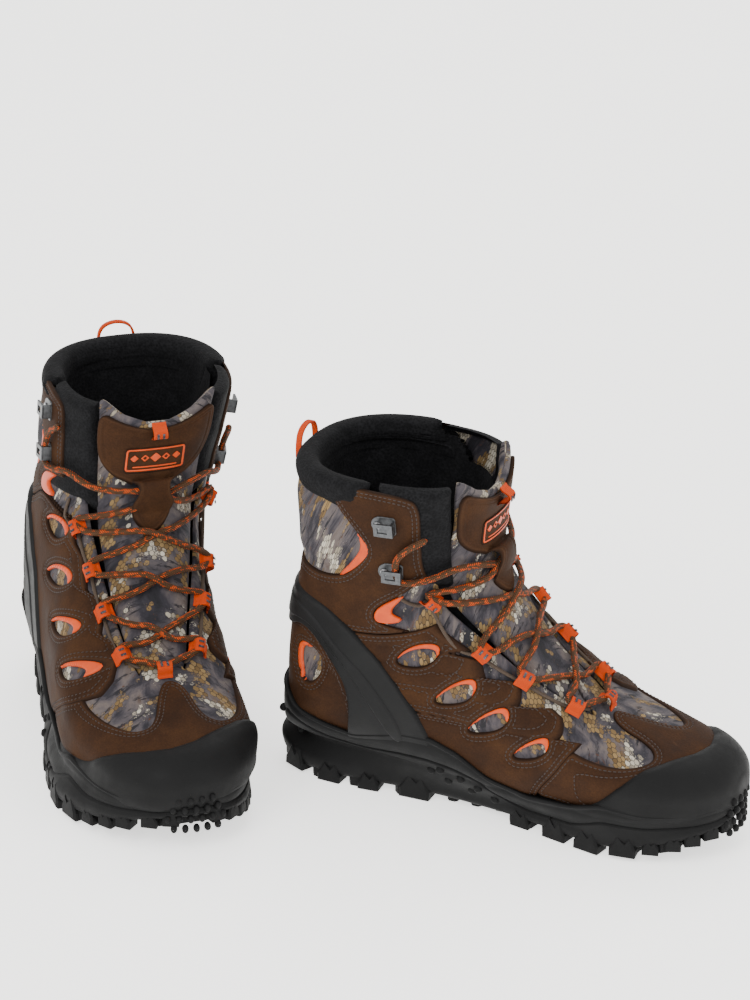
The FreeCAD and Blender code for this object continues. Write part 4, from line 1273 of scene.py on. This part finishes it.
def crossing(start, end, high):
    points = []
    for share in (0.3, 0.5, 0.7):
        x, z, y = (a + (b - a) * share for a, b in zip(start, end))
        ridge = 1.0 - abs(y) / 40.0
        lift = LACE_LIFT + (CROSSING_LIFT if high and share == 0.5 else 0.0)
        points.append(skin_at(x + 12.0 * ridge, z + 9.0 * ridge, y, lift))
    return points


def lower_strand(first_side):
    """From the centre loop through the four rows of loops, crossing the tongue each time."""
    x, z = CENTRE_LOOP
    points = [skin_at(x + 1, z, first_side * 1.0, LOOP_LIFT)]
    points.append(skin_at(x - 3, z + 2, first_side * 9.0, LACE_LIFT + 2))
    side = first_side
    for row, after in zip(LOOP_ROWS, LOOP_ROWS[1:] + [None]):
        points += loop_passage(row, side)
        if after:
            start, end = (row[0], row[1], side * row[2]), (after[0], after[1], -side * after[2])
            points += crossing(start, end, side > 0)
        side = -side
    return points


def upper_strand(side):
    """From the last loop, under the keeper, round the lower hook and into the gap by the tongue."""
    first, start = loop_passage(LOOP_ROWS[-1], side)
    leave = (start - first) / np.linalg.norm(start - first)
    points = [start + leave * 0.5]
    points.append(skin_at(150.0, 156.0, side * 22.0, LACE_LIFT + 1.6))
    points.append(skin_at(155.0, 167.0 + 3.0 * side, 0.0, LACE_LIFT + (3.5 if side > 0 else 0.0)))
    points.append(skin_at(146.0, 171.0, -side * 22.0, LACE_LIFT + 2.0))
    points.append(skin_at(137.0, 172.0, -side * 35.0, LACE_LIFT + 2.6))
    x, z = HOOKS[-side][0]
    for ahead, above, lift in HOOK_ROUTE:
        points.append(skin(*side_spot(x + ahead, z + above, -side), lift)[0])
    return points


def smooth_line(points):
    """Points along the NURBS route with these control points."""
    curve = bpy.data.curves.new("route", "CURVE")
    curve.dimensions = "3D"
    spline = curve.splines.new("NURBS")
    spline.points.add(len(points) - 1)
    for control, point in zip(spline.points, points):
        control.co = (*point, 1.0)
    spline.order_u = 3
    spline.use_endpoint_u = True
    spline.resolution_u = 12
    helper = bpy.data.objects.new("route", curve)
    mesh = bpy.data.meshes.new_from_object(helper)
    line = np.array([v.co for v in mesh.vertices], float)
    bpy.data.meshes.remove(mesh)
    bpy.data.objects.remove(helper)
    bpy.data.curves.remove(curve)
    return line


def tube(line, radius, sides=14, taper_ends=False):
    """A round tube along a line, with a flat map in millimetres: along it, and around it."""
    tangents = np.gradient(line, axis=0)
    tangents /= np.linalg.norm(tangents, axis=1)[:, None]
    normal = np.cross(tangents[0], (0.3, 0.2, 0.93))
    travelled = np.concatenate([[0], np.cumsum(np.linalg.norm(np.diff(line, axis=0), axis=1))])
    points, uv = [], []
    turn = np.linspace(0, 2 * math.pi, sides + 1)
    for index, (centre, tangent) in enumerate(zip(line, tangents)):
        normal = normal - tangent * (normal @ tangent)
        normal /= np.linalg.norm(normal)
        across = np.cross(tangent, normal)
        size = radius
        if taper_ends:
            size *= min(1.0, 0.25 + min(travelled[index], travelled[-1] - travelled[index]) / radius)
        points.append(centre + size * (np.cos(turn)[:, None] * normal + np.sin(turn)[:, None] * across))
        uv.append(np.stack([np.full(sides + 1, travelled[index]), turn * radius], 1))
    return np.vstack(points), grid_triangles(len(line), sides + 1)[:, ::-1], np.vstack(uv)


def joined(shapes):
    """Several (points, faces, uv) as one."""
    points, faces, uvs, shift = [], [], [], 0
    for shape_points, shape_faces, uv in shapes:
        points.append(shape_points)
        faces.append(np.asarray(shape_faces) + shift)
        uvs.append(uv if uv is not None else shape_points[:, :2])
        shift += len(shape_points)
    return np.vstack(points), np.vstack(faces), np.vstack(uvs)


def laces():
    for name, strand, blend in (("lower", lower_strand, False), ("upper", upper_strand, True)):
        shapes = [tube(smooth_line(strand(side)), LACE_DIAMETER / 2, taper_ends=True) for side in (1, -1)]
        points, faces, uv = joined(shapes)
        place_pair("braided_lace_" + name, points, faces, LACE, "boot", ["lace_" + name], uv,
                   blend=blend)


SLEEVE = [
    (-6.2, 0.0), (-5.6, 0.9), (-4.6, 1.5), (-3.7, 4.4), (-2.6, 6.8), (0.0, 7.9),
    (2.6, 6.8), (3.7, 4.4), (4.6, 1.5), (5.6, 0.9), (6.2, 0.0),
]


def sleeve(length):
    """A webbing loop along x: the tape arches over the lace and lies flat at both feet."""
    outer = rounded_profile(SLEEVE)
    inner = outer * np.array([0.82, 0.88]) + np.array([0, 0.02])
    ring = np.vstack([outer, inner[::-1], outer[:1]])
    girth = np.concatenate([[0], np.cumsum(np.linalg.norm(np.diff(ring, axis=0), axis=1))])
    rows, uv = [], []
    for share in (-0.5, -0.46, -0.25, 0.0, 0.25, 0.46, 0.5):
        size = 0.97 if abs(share) == 0.5 else 1.0 - 0.04 * math.cos(share * math.pi)
        rows.append(np.column_stack([np.full(len(ring), share * length), ring * size]))
        uv.append(np.column_stack([girth, np.full(len(ring), share * length)]))
    return np.vstack(rows), grid_triangles(len(rows), len(ring)), np.vstack(uv)


def block(length, width, height, chamfer=0.25):
    """A small box on z = 0 with chamfered top edges."""
    half_l, half_w = length / 2, width / 2
    layers = [(half_l, half_w, 0.0), (half_l, half_w, height - chamfer),
              (half_l - chamfer, half_w - chamfer, height)]
    points = [(sx * a, sy * b, c) for a, b, c in layers for sx, sy in ((-1, -1), (1, -1), (1, 1), (-1, 1))]
    faces = [(3, 2, 1, 0), (8, 9, 10, 11)]
    for ring in (0, 4):
        faces += [(ring + k, ring + (k + 1) % 4, ring + 4 + (k + 1) % 4, ring + 4 + k) for k in range(4)]
    return np.array(points, float), np.array(faces)


def oriented(shape, base, along, away):
    """The shape with its x along, its z away, standing on base."""
    points, faces, uv = shape
    moved, faces = spread_copies(points, np.asarray(faces), *(np.array([v]) for v in (base, along, away)))
    return moved, faces, uv


def loop_spots():
    """(base, along, away) of every lace loop."""
    spots = []
    for row in LOOP_ROWS:
        for side in (1, -1):
            spots.append((loop_place(row, side, LOOP_SEAT), loop_tangent(row, side),
                          skin_outward(row[0], row[1], side * row[2])))
    x, z = CENTRE_LOOP
    spots.append((skin_at(x, z, 0.0, LOOP_SEAT), np.array([0.0, 1.0, 0.0]), skin_outward(x, z, 0.0)))
    return spots


def slotted_sleeve(length, base, along, away):
    """A webbing loop and the two dark slots woven into its top."""
    slots = []
    for at_along in (-0.2 * length, 0.2 * length):
        points, faces = block(1.5, 3.6, 0.6)
        spot = base + along * at_along + away * SLOT_RISE
        slots.append(oriented((points, faces, points[:, :2]), spot, along, away))
    return oriented(sleeve(length), base, along, away), slots


def loops():
    sleeves, slots = [], []
    for base, along, away in loop_spots():
        band, marks = slotted_sleeve(LOOP_LENGTH, base, along, away)
        sleeves.append(band)
        slots += marks
    points, faces, uv = joined(sleeves)
    place_pair("webbing_loops", points, faces, ORANGE_WEB, "boot", ["lace_loops"], uv,
               sharp=50)
    points, faces, uv = joined(slots)
    place_pair("loop_slots", points, faces, SLOT_GREY, "boot", uv=uv, sharp=30)


def tongue_sleeve():
    x, z = TONGUE_LOOP
    along = np.array([0.0, 1.0, 0.0])
    band, slots = slotted_sleeve(TONGUE_LOOP_LENGTH, skin_at(x, z, 0.0, 1.5), along, skin_outward(x, z, 0.0))
    points, faces, uv = band
    place_pair("tongue_sleeve", points, faces, ORANGE_WEB, "tongue", ["tongue_loop"], uv,
               sharp=50)
    points, faces, uv = joined(slots)
    place_pair("tongue_slots", points, faces, SLOT_GREY, "tongue", uv=uv, sharp=30)


def stay_cords():
    """The thin taupe cord that links the loops down each side."""
    shapes = []
    for side in (1, -1):
        spots = [(122, 162, 46), (116, 150, 48), (121, 145, 46), (133, 141.5, 42)]
        for row, after in zip(LOOP_ROWS[::-1], LOOP_ROWS[::-1][1:] + [None]):
            x, z, half = row
            spots.append((x, z, half + 1.5))
            if after:
                spots.append(((x + after[0]) / 2, (z + after[1]) / 2, (half + after[2]) / 2 + 2.5))
        spots.append((214, 80, 14))
        points = [skin_at(x, z, side * v, 0.9) for x, z, v in spots]
        shapes.append(tube(smooth_line(points), 1.15, 8, taper_ends=True))
    points, faces, uv = joined(shapes)
    place_pair("stay_cords", points, faces, TAUPE, "boot", uv=uv)


# ======================================================================= hooks and tabs

def prism(outline, low, high):
    """An outline in the xy plane pushed up from low to high."""
    outline = np.array(outline, float)
    count = len(outline)
    points = np.vstack([np.column_stack([outline, np.full(count, low)]),
                        np.column_stack([outline, np.full(count, high)]),
                        [[*outline.mean(0), low], [*outline.mean(0), high]]])
    faces = []
    for k in range(count):
        ahead = (k + 1) % count
        faces += [(k, ahead, count + ahead), (k, count + ahead, count + k)]
        faces += [(2 * count, ahead, k), (2 * count + 1, count + k, count + ahead)]
    return points, np.array(faces), points[:, :2]


def d_shape(back, front, half, corner=1.2, steps=10):
    """A plate that is round at the back and square at the front."""
    turns = np.linspace(math.pi / 2, 3 * math.pi / 2, steps)
    points = [(back + half + math.cos(t) * half, math.sin(t) * half) for t in turns]
    inset = front - corner
    return points + [(inset, -half), (front, -half + corner), (front, half - corner), (inset, half)]


def box_outline(x1, x2, half):
    return [(x1, -half), (x2, -half), (x2, half), (x1, half)]


def hook_shape():
    """A pressed steel speed hook: D-shaped base, riser in front, folded cover with a slot."""
    parts = [
        prism(d_shape(-8.5, 7.0, 6.3), 0.0, 1.2),
        prism(box_outline(5.4, 6.8, 4.5), 1.1, 6.6),
        prism(box_outline(3.4, 6.8, 4.5), 5.5, 6.9),
        prism(box_outline(-5.2, -2.8, 4.5), 5.5, 6.9),
        prism([(x, y + 3.2) for x, y in box_outline(-3.2, 3.8, 1.3)], 5.5, 6.9),
        prism([(x, y - 3.2) for x, y in box_outline(-3.2, 3.8, 1.3)], 5.5, 6.9),
    ]
    return joined(parts)


def hook_spots():
    spots = []
    for side in (1, -1):
        for x, z in HOOKS[side]:
            spot = side_spot(x, z, side)
            forward = skin(*side_spot(x + 4, z, side))[0] - skin(*side_spot(x - 4, z, side))[0]
            spots.append((skin(*spot, HOOK_SEAT)[0], forward / np.linalg.norm(forward), square_out(spot)))
    return spots


def hooks():
    points, faces, uv = joined([oriented(hook_shape(), *spot) for spot in hook_spots()])
    place_pair("speed_hooks", points, faces, DARK_METAL, "boot", ["lace_hooks"], uv,
               smooth=False, bevel=0.35)
    turns = np.linspace(0, 2 * math.pi, 20, endpoint=False)
    heads = []
    for base, forward, away in hook_spots():
        head = prism([(2.5 * math.cos(t), 2.5 * math.sin(t)) for t in turns], 1.1, 2.3)
        heads.append(oriented(head, base - forward * 4.4, forward, away))
    points, faces, uv = joined(heads)
    place_pair("rivet_heads", points, faces, BRIGHT_METAL, "boot", ["hook_rivets"], uv,
               smooth=False, bevel=0.5)


TAB_ROUTE = [(-12.0, 0.4), (-12.2, 9), (-9, 16.5), (0, 19.2), (9, 16.5), (12.2, 9), (12.0, 0.4)]


# the tape's section: share of its width, distance from its middle
TAB_SECTION = [
    (0.05, -0.75), (-0.05, -0.3), (-0.05, 0.3), (0.05, 0.75), (0.95, 0.75), (1.05, 0.3), (1.05, -0.3),
    (0.95, -0.75), (0.05, -0.75),
]
TAB_WIDTH = 3.6


def heel_tab():
    """A folded pull tab of webbing on the back of the collar, open from front to back."""
    x, z = HEEL_TAB
    base = np.array([x, LEAN * z, z])
    up = np.array([0.0, 0.0, 1.0])
    out = np.array([-1.0, 0.0, 0.0])
    across = np.array([0.0, 1.0, 0.0])
    route = smooth_line([base + across * a + up * b for a, b in TAB_ROUTE])
    tangents = np.gradient(route, axis=0)
    tangents /= np.linalg.norm(tangents, axis=1)[:, None]
    thick = np.cross(tangents, out)
    travelled = np.concatenate([[0], np.cumsum(np.linalg.norm(np.diff(route, axis=0), axis=1))])
    points, uv = [], []
    for centre, side, at in zip(route, thick, travelled):
        for a, b in TAB_SECTION:
            points.append(centre + out * a * TAB_WIDTH + side * b)
            uv.append((at, a * TAB_WIDTH + b))
    faces = grid_triangles(len(route), len(TAB_SECTION))
    place_pair("heel_pull", np.array(points), faces, ORANGE_WEB, "heel_tab", ["heel_loop"],
               np.array(uv), sharp=50)


# ======================================================================= sole

TOE_SPRING = 18.0
HEEL_BEVEL = 7.0
WALL_OUT = 5.0           # the wall stands this far out of the upper, where it climbs it
STATIONS = 420
WALL_ROWS = (16, 22)     # rows below and above the groove
WALL_FOOT = 5.5          # height of the wall's foot above the tread line


def tread_rise(x):
    toe = TOE_SPRING * np.clip((x - 215) / 90.0, 0, None) ** 2
    heel = HEEL_BEVEL * np.clip((30 - x) / 30.0, 0, None) ** 2
    return toe + heel


def closed_spline(outline, count):
    """Even points on a smooth closed curve through the outline."""
    points = np.array(outline, float)
    before, ahead, second = np.roll(points, 1, 0), np.roll(points, -1, 0), np.roll(points, -2, 0)
    share = np.linspace(0, 1, 12, endpoint=False)[None, :, None]
    a, b, c, d = (p[:, None, :] for p in (before, points, ahead, second))
    line = 0.5 * (2 * b + (c - a) * share + (2 * a - 5 * b + 4 * c - d) * share ** 2
                  + (3 * b - a - 3 * c + d) * share ** 3)
    line = line.reshape(-1, 2)
    line = np.vstack([line, line[:1]])
    travelled = np.concatenate([[0], np.cumsum(np.linalg.norm(np.diff(line, axis=0), axis=1))])
    at = np.linspace(0, travelled[-1], count, endpoint=False)
    return np.stack([np.interp(at, travelled, line[:, k]) for k in range(2)], 1)


def running_mean(values, reach):
    kernel = np.ones(2 * reach + 1) / (2 * reach + 1)
    wrapped = np.concatenate([values[-reach:], values, values[:reach]])
    return np.convolve(wrapped, kernel, mode="valid")


def sole_stations():
    """Places round the sole's edge, and their outward directions."""
    line = closed_spline(SOLE_OUTLINE, STATIONS)
    tangent = np.roll(line, -1, 0) - np.roll(line, 1, 0)
    tangent /= np.linalg.norm(tangent, axis=1)[:, None]
    normal = np.stack([tangent[:, 1], -tangent[:, 0]], 1)
    if ((line - line.mean(0)) * normal).sum() < 0:
        normal = -normal
    return line, normal


EDGE_LINE, EDGE_NORMAL = sole_stations()
WALL_LEVELS = np.arange(28.0, 70.0, 3.0)


def wall_insets():
    """How far inside the sole's edge the wall stands, by level and station."""
    points = skin(BASE["place"], BASE["angle"], WALL_OUT)
    sheet = BASE.with_value("h", points[:, 2]).with_value("px", points[:, 0]).with_value("py", points[:, 1])
    table = []
    last = np.zeros(STATIONS)
    for level in WALL_LEVELS:
        cut = sheet.split("h", level)
        on_line = np.abs(cut["h"] - level) < 1e-6
        spots = np.stack([cut["px"][on_line], cut["py"][on_line]], 1)
        gap = spots[None] - EDGE_LINE[:, None]
        along = (gap * EDGE_NORMAL[:, None]).sum(2)
        across = np.abs(gap[..., 0] * EDGE_NORMAL[:, None, 1] - gap[..., 1] * EDGE_NORMAL[:, None, 0])
        best = np.where(across < 2.2, along, -1e3).max(1)
        row = np.where(best > -45, -best, last)
        last = running_mean(row, 4)
        table.append(last)
    return np.array(table)


WALL_INSETS = wall_insets()


def wall_inset(station, height):
    """How far inside the edge the wall stands, at this station and height."""
    index = np.clip((height - WALL_LEVELS[0]) / 3.0, 0, len(WALL_LEVELS) - 1.001)
    low = index.astype(int)
    share = index - low
    climbing = WALL_INSETS[low, station] * (1 - share) + WALL_INSETS[low + 1, station] * share
    blend = np.clip((height - 12.0 - tread_rise(EDGE_LINE[station, 0])) / 16.0, 0, 1)
    return climbing * blend * blend * (3 - 2 * blend)


def wall_point(station, height, out=0.0):
    station = np.atleast_1d(station) % STATIONS
    height = np.broadcast_to(np.asarray(height, float), station.shape)
    inset = wall_inset(station, height) - out
    spot = EDGE_LINE[station] - EDGE_NORMAL[station] * inset[:, None]
    return np.column_stack([spot, height])


def wall():
    """The side of the sole: a foot, a lower band, a groove, an upper band and a lip against the upper."""
    station = np.arange(STATIONS)
    x = EDGE_LINE[:, 0]
    foot = tread_rise(x) + WALL_FOOT
    groove = np.maximum(running_mean(by_table(x, WALL_GROOVE), 2), foot + 5)
    top = np.maximum(running_mean(by_table(x, WALL_TOP), 2), groove + 3)
    rows = [wall_point(station, foot + rise, out) for rise, out in ((-1.0, -9.0), (-0.4, -1.6), (0.8, -0.4))]
    lower, upper = WALL_ROWS
    for k in range(lower):
        share = (k + 1) / (lower + 1)
        relief = 0.9 * math.sin(math.pi * share) + 0.5
        rows.append(wall_point(station, foot + 0.8 + (groove - foot - 1.6) * share, relief))
    rows.append(wall_point(station, groove - 0.5, 0.6))
    rows.append(wall_point(station, groove, -0.9))
    rows.append(wall_point(station, groove + 0.6, -0.5))
    for k in range(upper):
        share = (k + 1) / (upper + 1)
        relief = -0.2 + 1.0 * math.sin(math.pi * min(share * 1.3, 1.0)) ** 0.7 if share < 0.77 else -0.2
        relief += 0.9 * math.exp(-((share - 0.93) / 0.06) ** 2)
        rows.append(wall_point(station, groove + 0.6 + (top - groove - 0.6) * share, relief))
    rows.append(wall_point(station, top + 0.7, -0.6))
    rows.append(wall_point(station, top + 0.6, -2.2))
    rows.append(wall_point(station, top - 1.0, -WALL_OUT - 1.0))
    points = np.vstack([np.vstack([row, row[:1]]) for row in rows])
    columns = STATIONS + 1
    uv = np.stack(np.meshgrid(np.arange(columns) * 2.0, np.arange(len(rows)) * 1.0), -1).reshape(-1, 2)
    triangles = grid_triangles(len(rows), columns)
    first, (triangles,) = merged(points, [triangles])
    place_pair("sole_wall", points[first], triangles, RUBBER, "boot", ["midsole"], uv[first])


def station_at(x, side):
    """The station nearest this x on the inner (1) or outer (-1) edge."""
    wrong = np.where(EDGE_LINE[:, 1] * side > 0, 0, 1e3)
    return int((np.abs(EDGE_LINE[:, 0] - x) + wrong).argmin())


CLAW = [
    (-10, 0), (-10.5, 6), (-8.5, 11), (-6, 17), (-3.2, 11.5), (0, 13), (3.6, 18), (6.5, 11.5), (9.5, 6),
    (9.5, 0),
]
SMALL_CLAW = [(-6, 0), (-6, 6), (-3.6, 11), (-1, 8.5), (2, 11.5), (5.4, 6), (5.4, 0)]


def claw(station, outline, out=2.6, scale=1.0):
    """A tread block that climbs the sole's edge in two peaks."""
    spot = EDGE_LINE[station]
    normal = np.array([*EDGE_NORMAL[station], 0.0])
    tangent = np.cross((0, 0, 1.0), normal)
    rise = float(tread_rise(np.array(spot[0])))
    points, faces = [], []
    shape = np.array(outline, float) * scale
    for depth, size in ((-9.0, 1.0), (out - 1.2, 1.0), (out, 0.82)):
        centre = np.array([shape[:, 0].mean(), shape[:, 1].max() * 0.35])
        ring = centre + (shape - centre) * np.array([size, size if depth == out else 1.0])
        ring[:, 1] = np.maximum(ring[:, 1], 0.0)
        for a, b in ring:
            lean = 0.07 * b
            points.append(np.array([*spot, rise + b]) + tangent * a + normal * (depth - lean))
    count = len(shape)
    points.append(np.mean(points[2 * count:], axis=0) + normal * 0.25)
    for ring in range(2):
        for k in range(count):
            a, b = ring * count + k, ring * count + (k + 1) % count
            faces += [(a, b, b + count), (a, b + count, a + count)]
    faces += [(3 * count, 2 * count + k, 2 * count + (k + 1) % count) for k in range(count)]
    faces += [(k, count - 1 - 0, (k + 1) % count) for k in range(1, count - 2)]
    points = np.array(points)
    return points, np.array(faces), points[:, :2]


def tread_claws():
    shapes = []
    for side in (1, -1):
        for x, outline, scale in ((16, CLAW, 0.85), (42, CLAW, 0.8), (70, CLAW, 0.72), (100, CLAW, 1.05),
                                  (176, CLAW, 0.7), (200, CLAW, 0.85), (224, CLAW, 0.9), (247, CLAW, 0.85)):
            shapes.append(claw(station_at(x, side), outline, scale=scale))
        for x in (264, 277, 288, 297, 303):
            shapes.append(claw(station_at(x, side), SMALL_CLAW, out=1.8, scale=0.9))
    points, faces, uv = joined(shapes)
    place_pair("tread_claws", points, faces, RUBBER, "boot", uv=uv, smooth=False, bevel=0.7)


def dome(radius, height, rings=4, sides=12):
    """A low round stud with a soft top."""
    points = []
    for k in range(rings + 1):
        turn = math.pi / 2 * k / rings
        size, rise = radius * math.cos(turn) ** 0.6, height * math.sin(turn)
        size = max(size, 0.05)
        points += [(size * math.cos(2 * math.pi * j / sides), size * math.sin(2 * math.pi * j / sides), rise)
                   for j in range(sides)]
    faces = []
    for k in range(rings):
        for j in range(sides):
            a, b = k * sides + j, k * sides + (j + 1) % sides
            faces += [(a, b, b + sides), (a, b + sides, a + sides)]
    points = np.array(points)
    return points, np.array(faces), points[:, :2]


NUB_SPACING = 4.2      # stations between the long studs of the toe


def stud(station, height, out, lean, shape):
    """One stud on the wall, square to the sole's edge and leaning up a little."""
    normal = np.array([*EDGE_NORMAL[station], lean])
    up = np.array([0.0, 0.0, 1.0])
    return oriented(shape, wall_point(station, height, out)[0], up, normal / np.linalg.norm(normal))


def studs():
    """Round studs on the arch and the back of the heel, and long ones on the toe."""
    shapes = []
    for side in (1, -1):
        for x, height in ((116, 27), (125, 31), (128, 22), (138, 27), (143, 18), (150, 23), (158, 15)):
            shapes.append(stud(station_at(x, side), height, 0.7, 0.25, dome(2.9, 2.6)))
    back = int(EDGE_LINE[:, 0].argmin())
    for offset in (-9, 9, 0):
        for k, height in enumerate((24, 34, 44, 54)):
            station = (back + offset * (1 if k % 2 else 2)) % STATIONS
            shapes.append(stud(station, height, 0.4, 0.1, dome(2.8, 3.0)))
    front = int(EDGE_LINE[:, 0].argmax())
    points, faces, uv = dome(2.1, 3.0)
    nub = (points * (1.35, 1.0, 1.0), faces, uv)
    for height, count in ((16, 5), (22.5, 6), (29, 5), (35.5, 4)):
        for k in range(count):
            station = int(front + NUB_SPACING * (k - (count - 1) / 2)) % STATIONS
            shapes.append(stud(station, height, 0.3, 0.15, nub))
    points, faces, uv = joined(shapes)
    place_pair("studs", points, faces, RUBBER, "boot", uv=uv)


# ======================================================================= CAD nodes that stay

def dress_cad_nodes():
    """Hard and hidden pieces keep their CAD shape and get their own material."""
    dressed = {"outsole": RUBBER, "shank": BRIGHT_METAL, "insole_board": BOARD, "footbed": FELT,
               "heel_counter": PALE_SHEET, "toe_puff": PALE_SHEET}
    for side in SIDES:
        for node, material in dressed.items():
            piece = frame["nodes"][side + "_" + node]
            piece.data.materials.clear()
            piece.data.materials.append(material)


# ======================================================================= the picture

# the point on the floor that the camera looks at, from the back of the right heel, in millimetres
CAMERA_AIM = (199.0, 231.0)
CAMERA_ELEVATION = math.radians(24.17)
CAMERA_DISTANCE = 2.8033
CAMERA_LENS = 136.8


def make_camera():
    heel = FRAMES["right"][0]
    aim = heel + np.array([CAMERA_AIM[0] * MM, CAMERA_AIM[1] * MM, 0])
    back = np.array([0, -math.cos(CAMERA_ELEVATION), math.sin(CAMERA_ELEVATION)])
    camera = bpy.data.objects.new("camera", bpy.data.cameras.new("camera"))
    bpy.context.scene.collection.objects.link(camera)
    camera.data.lens = CAMERA_LENS
    camera.data.sensor_width = 36.0
    camera.location = aim + back * CAMERA_DISTANCE
    camera.rotation_euler = (math.pi / 2 - CAMERA_ELEVATION, 0, 0)
    bpy.context.scene.camera = camera


def make_light(name, place, aim, size, power, colour=(1, 1, 1)):
    light = bpy.data.objects.new(name, bpy.data.lights.new(name, "AREA"))
    bpy.context.scene.collection.objects.link(light)
    light.data.size = size
    light.data.energy = power
    light.data.color = colour
    light.location = place
    direction = np.array(aim, float) - np.array(place, float)
    yaw = math.atan2(direction[1], direction[0]) - math.pi / 2
    pitch = math.atan2(math.hypot(direction[0], direction[1]), -direction[2])
    light.rotation_euler = (pitch, 0, yaw)


def make_stage():
    mesh = bpy.data.meshes.new("floor")
    mesh.from_pydata([(-30, -30, 0), (30, -30, 0), (30, 30, 0), (-30, 30, 0)], [], [(0, 1, 2, 3)])
    floor = bpy.data.objects.new("floor", mesh)
    bpy.context.scene.collection.objects.link(floor)
    material, tree, shader = new_material("pale_floor", 0.95, Specular_IOR_Level=0.0, Emission_Strength=1.3,
                                          Emission_Color=(1.0, 0.995, 0.975, 1.0))
    clouds = noise(tree, place_of(tree), 3.0)
    colour = ramp(tree, clouds, (0.3, (0.86, 0.855, 0.845)), (0.7, (0.88, 0.875, 0.865)))
    tree.links.new(colour, shader.inputs["Base Color"])
    floor.data.materials.append(material)
    world = bpy.data.worlds.new("studio")
    world.use_nodes = True
    background = world.node_tree.nodes["Background"]
    background.inputs["Color"].default_value = (0.95, 0.945, 0.93, 1)
    background.inputs["Strength"].default_value = 1.6
    bpy.context.scene.world = world
    middle = (0.0, 0.0, 0.1)
    make_light("key", (-1.4, -2.2, 2.6), middle, 1.8, 70.0)
    make_light("fill", (2.2, -1.4, 1.8), middle, 1.6, 28.0)
    make_light("rim", (0.4, 2.0, 2.2), middle, 1.6, 22.0)


# ======================================================================= making it all

def build():
    textile_shell()
    quarters()
    ankles()
    heel_panel()
    toe_panel()
    toe_cap()
    strap()
    collar_camo()
    edgings()
    throat_lining()
    inner_lining()
    collar_roll()
    tongue()
    tongue_patch()
    label()
    laces()
    loops()
    stay_cords()
    hooks()
    tongue_sleeve()
    heel_tab()
    wall()
    tread_claws()
    studs()
    stitching()
    dress_cad_nodes()


build()
make_camera()
make_stage()
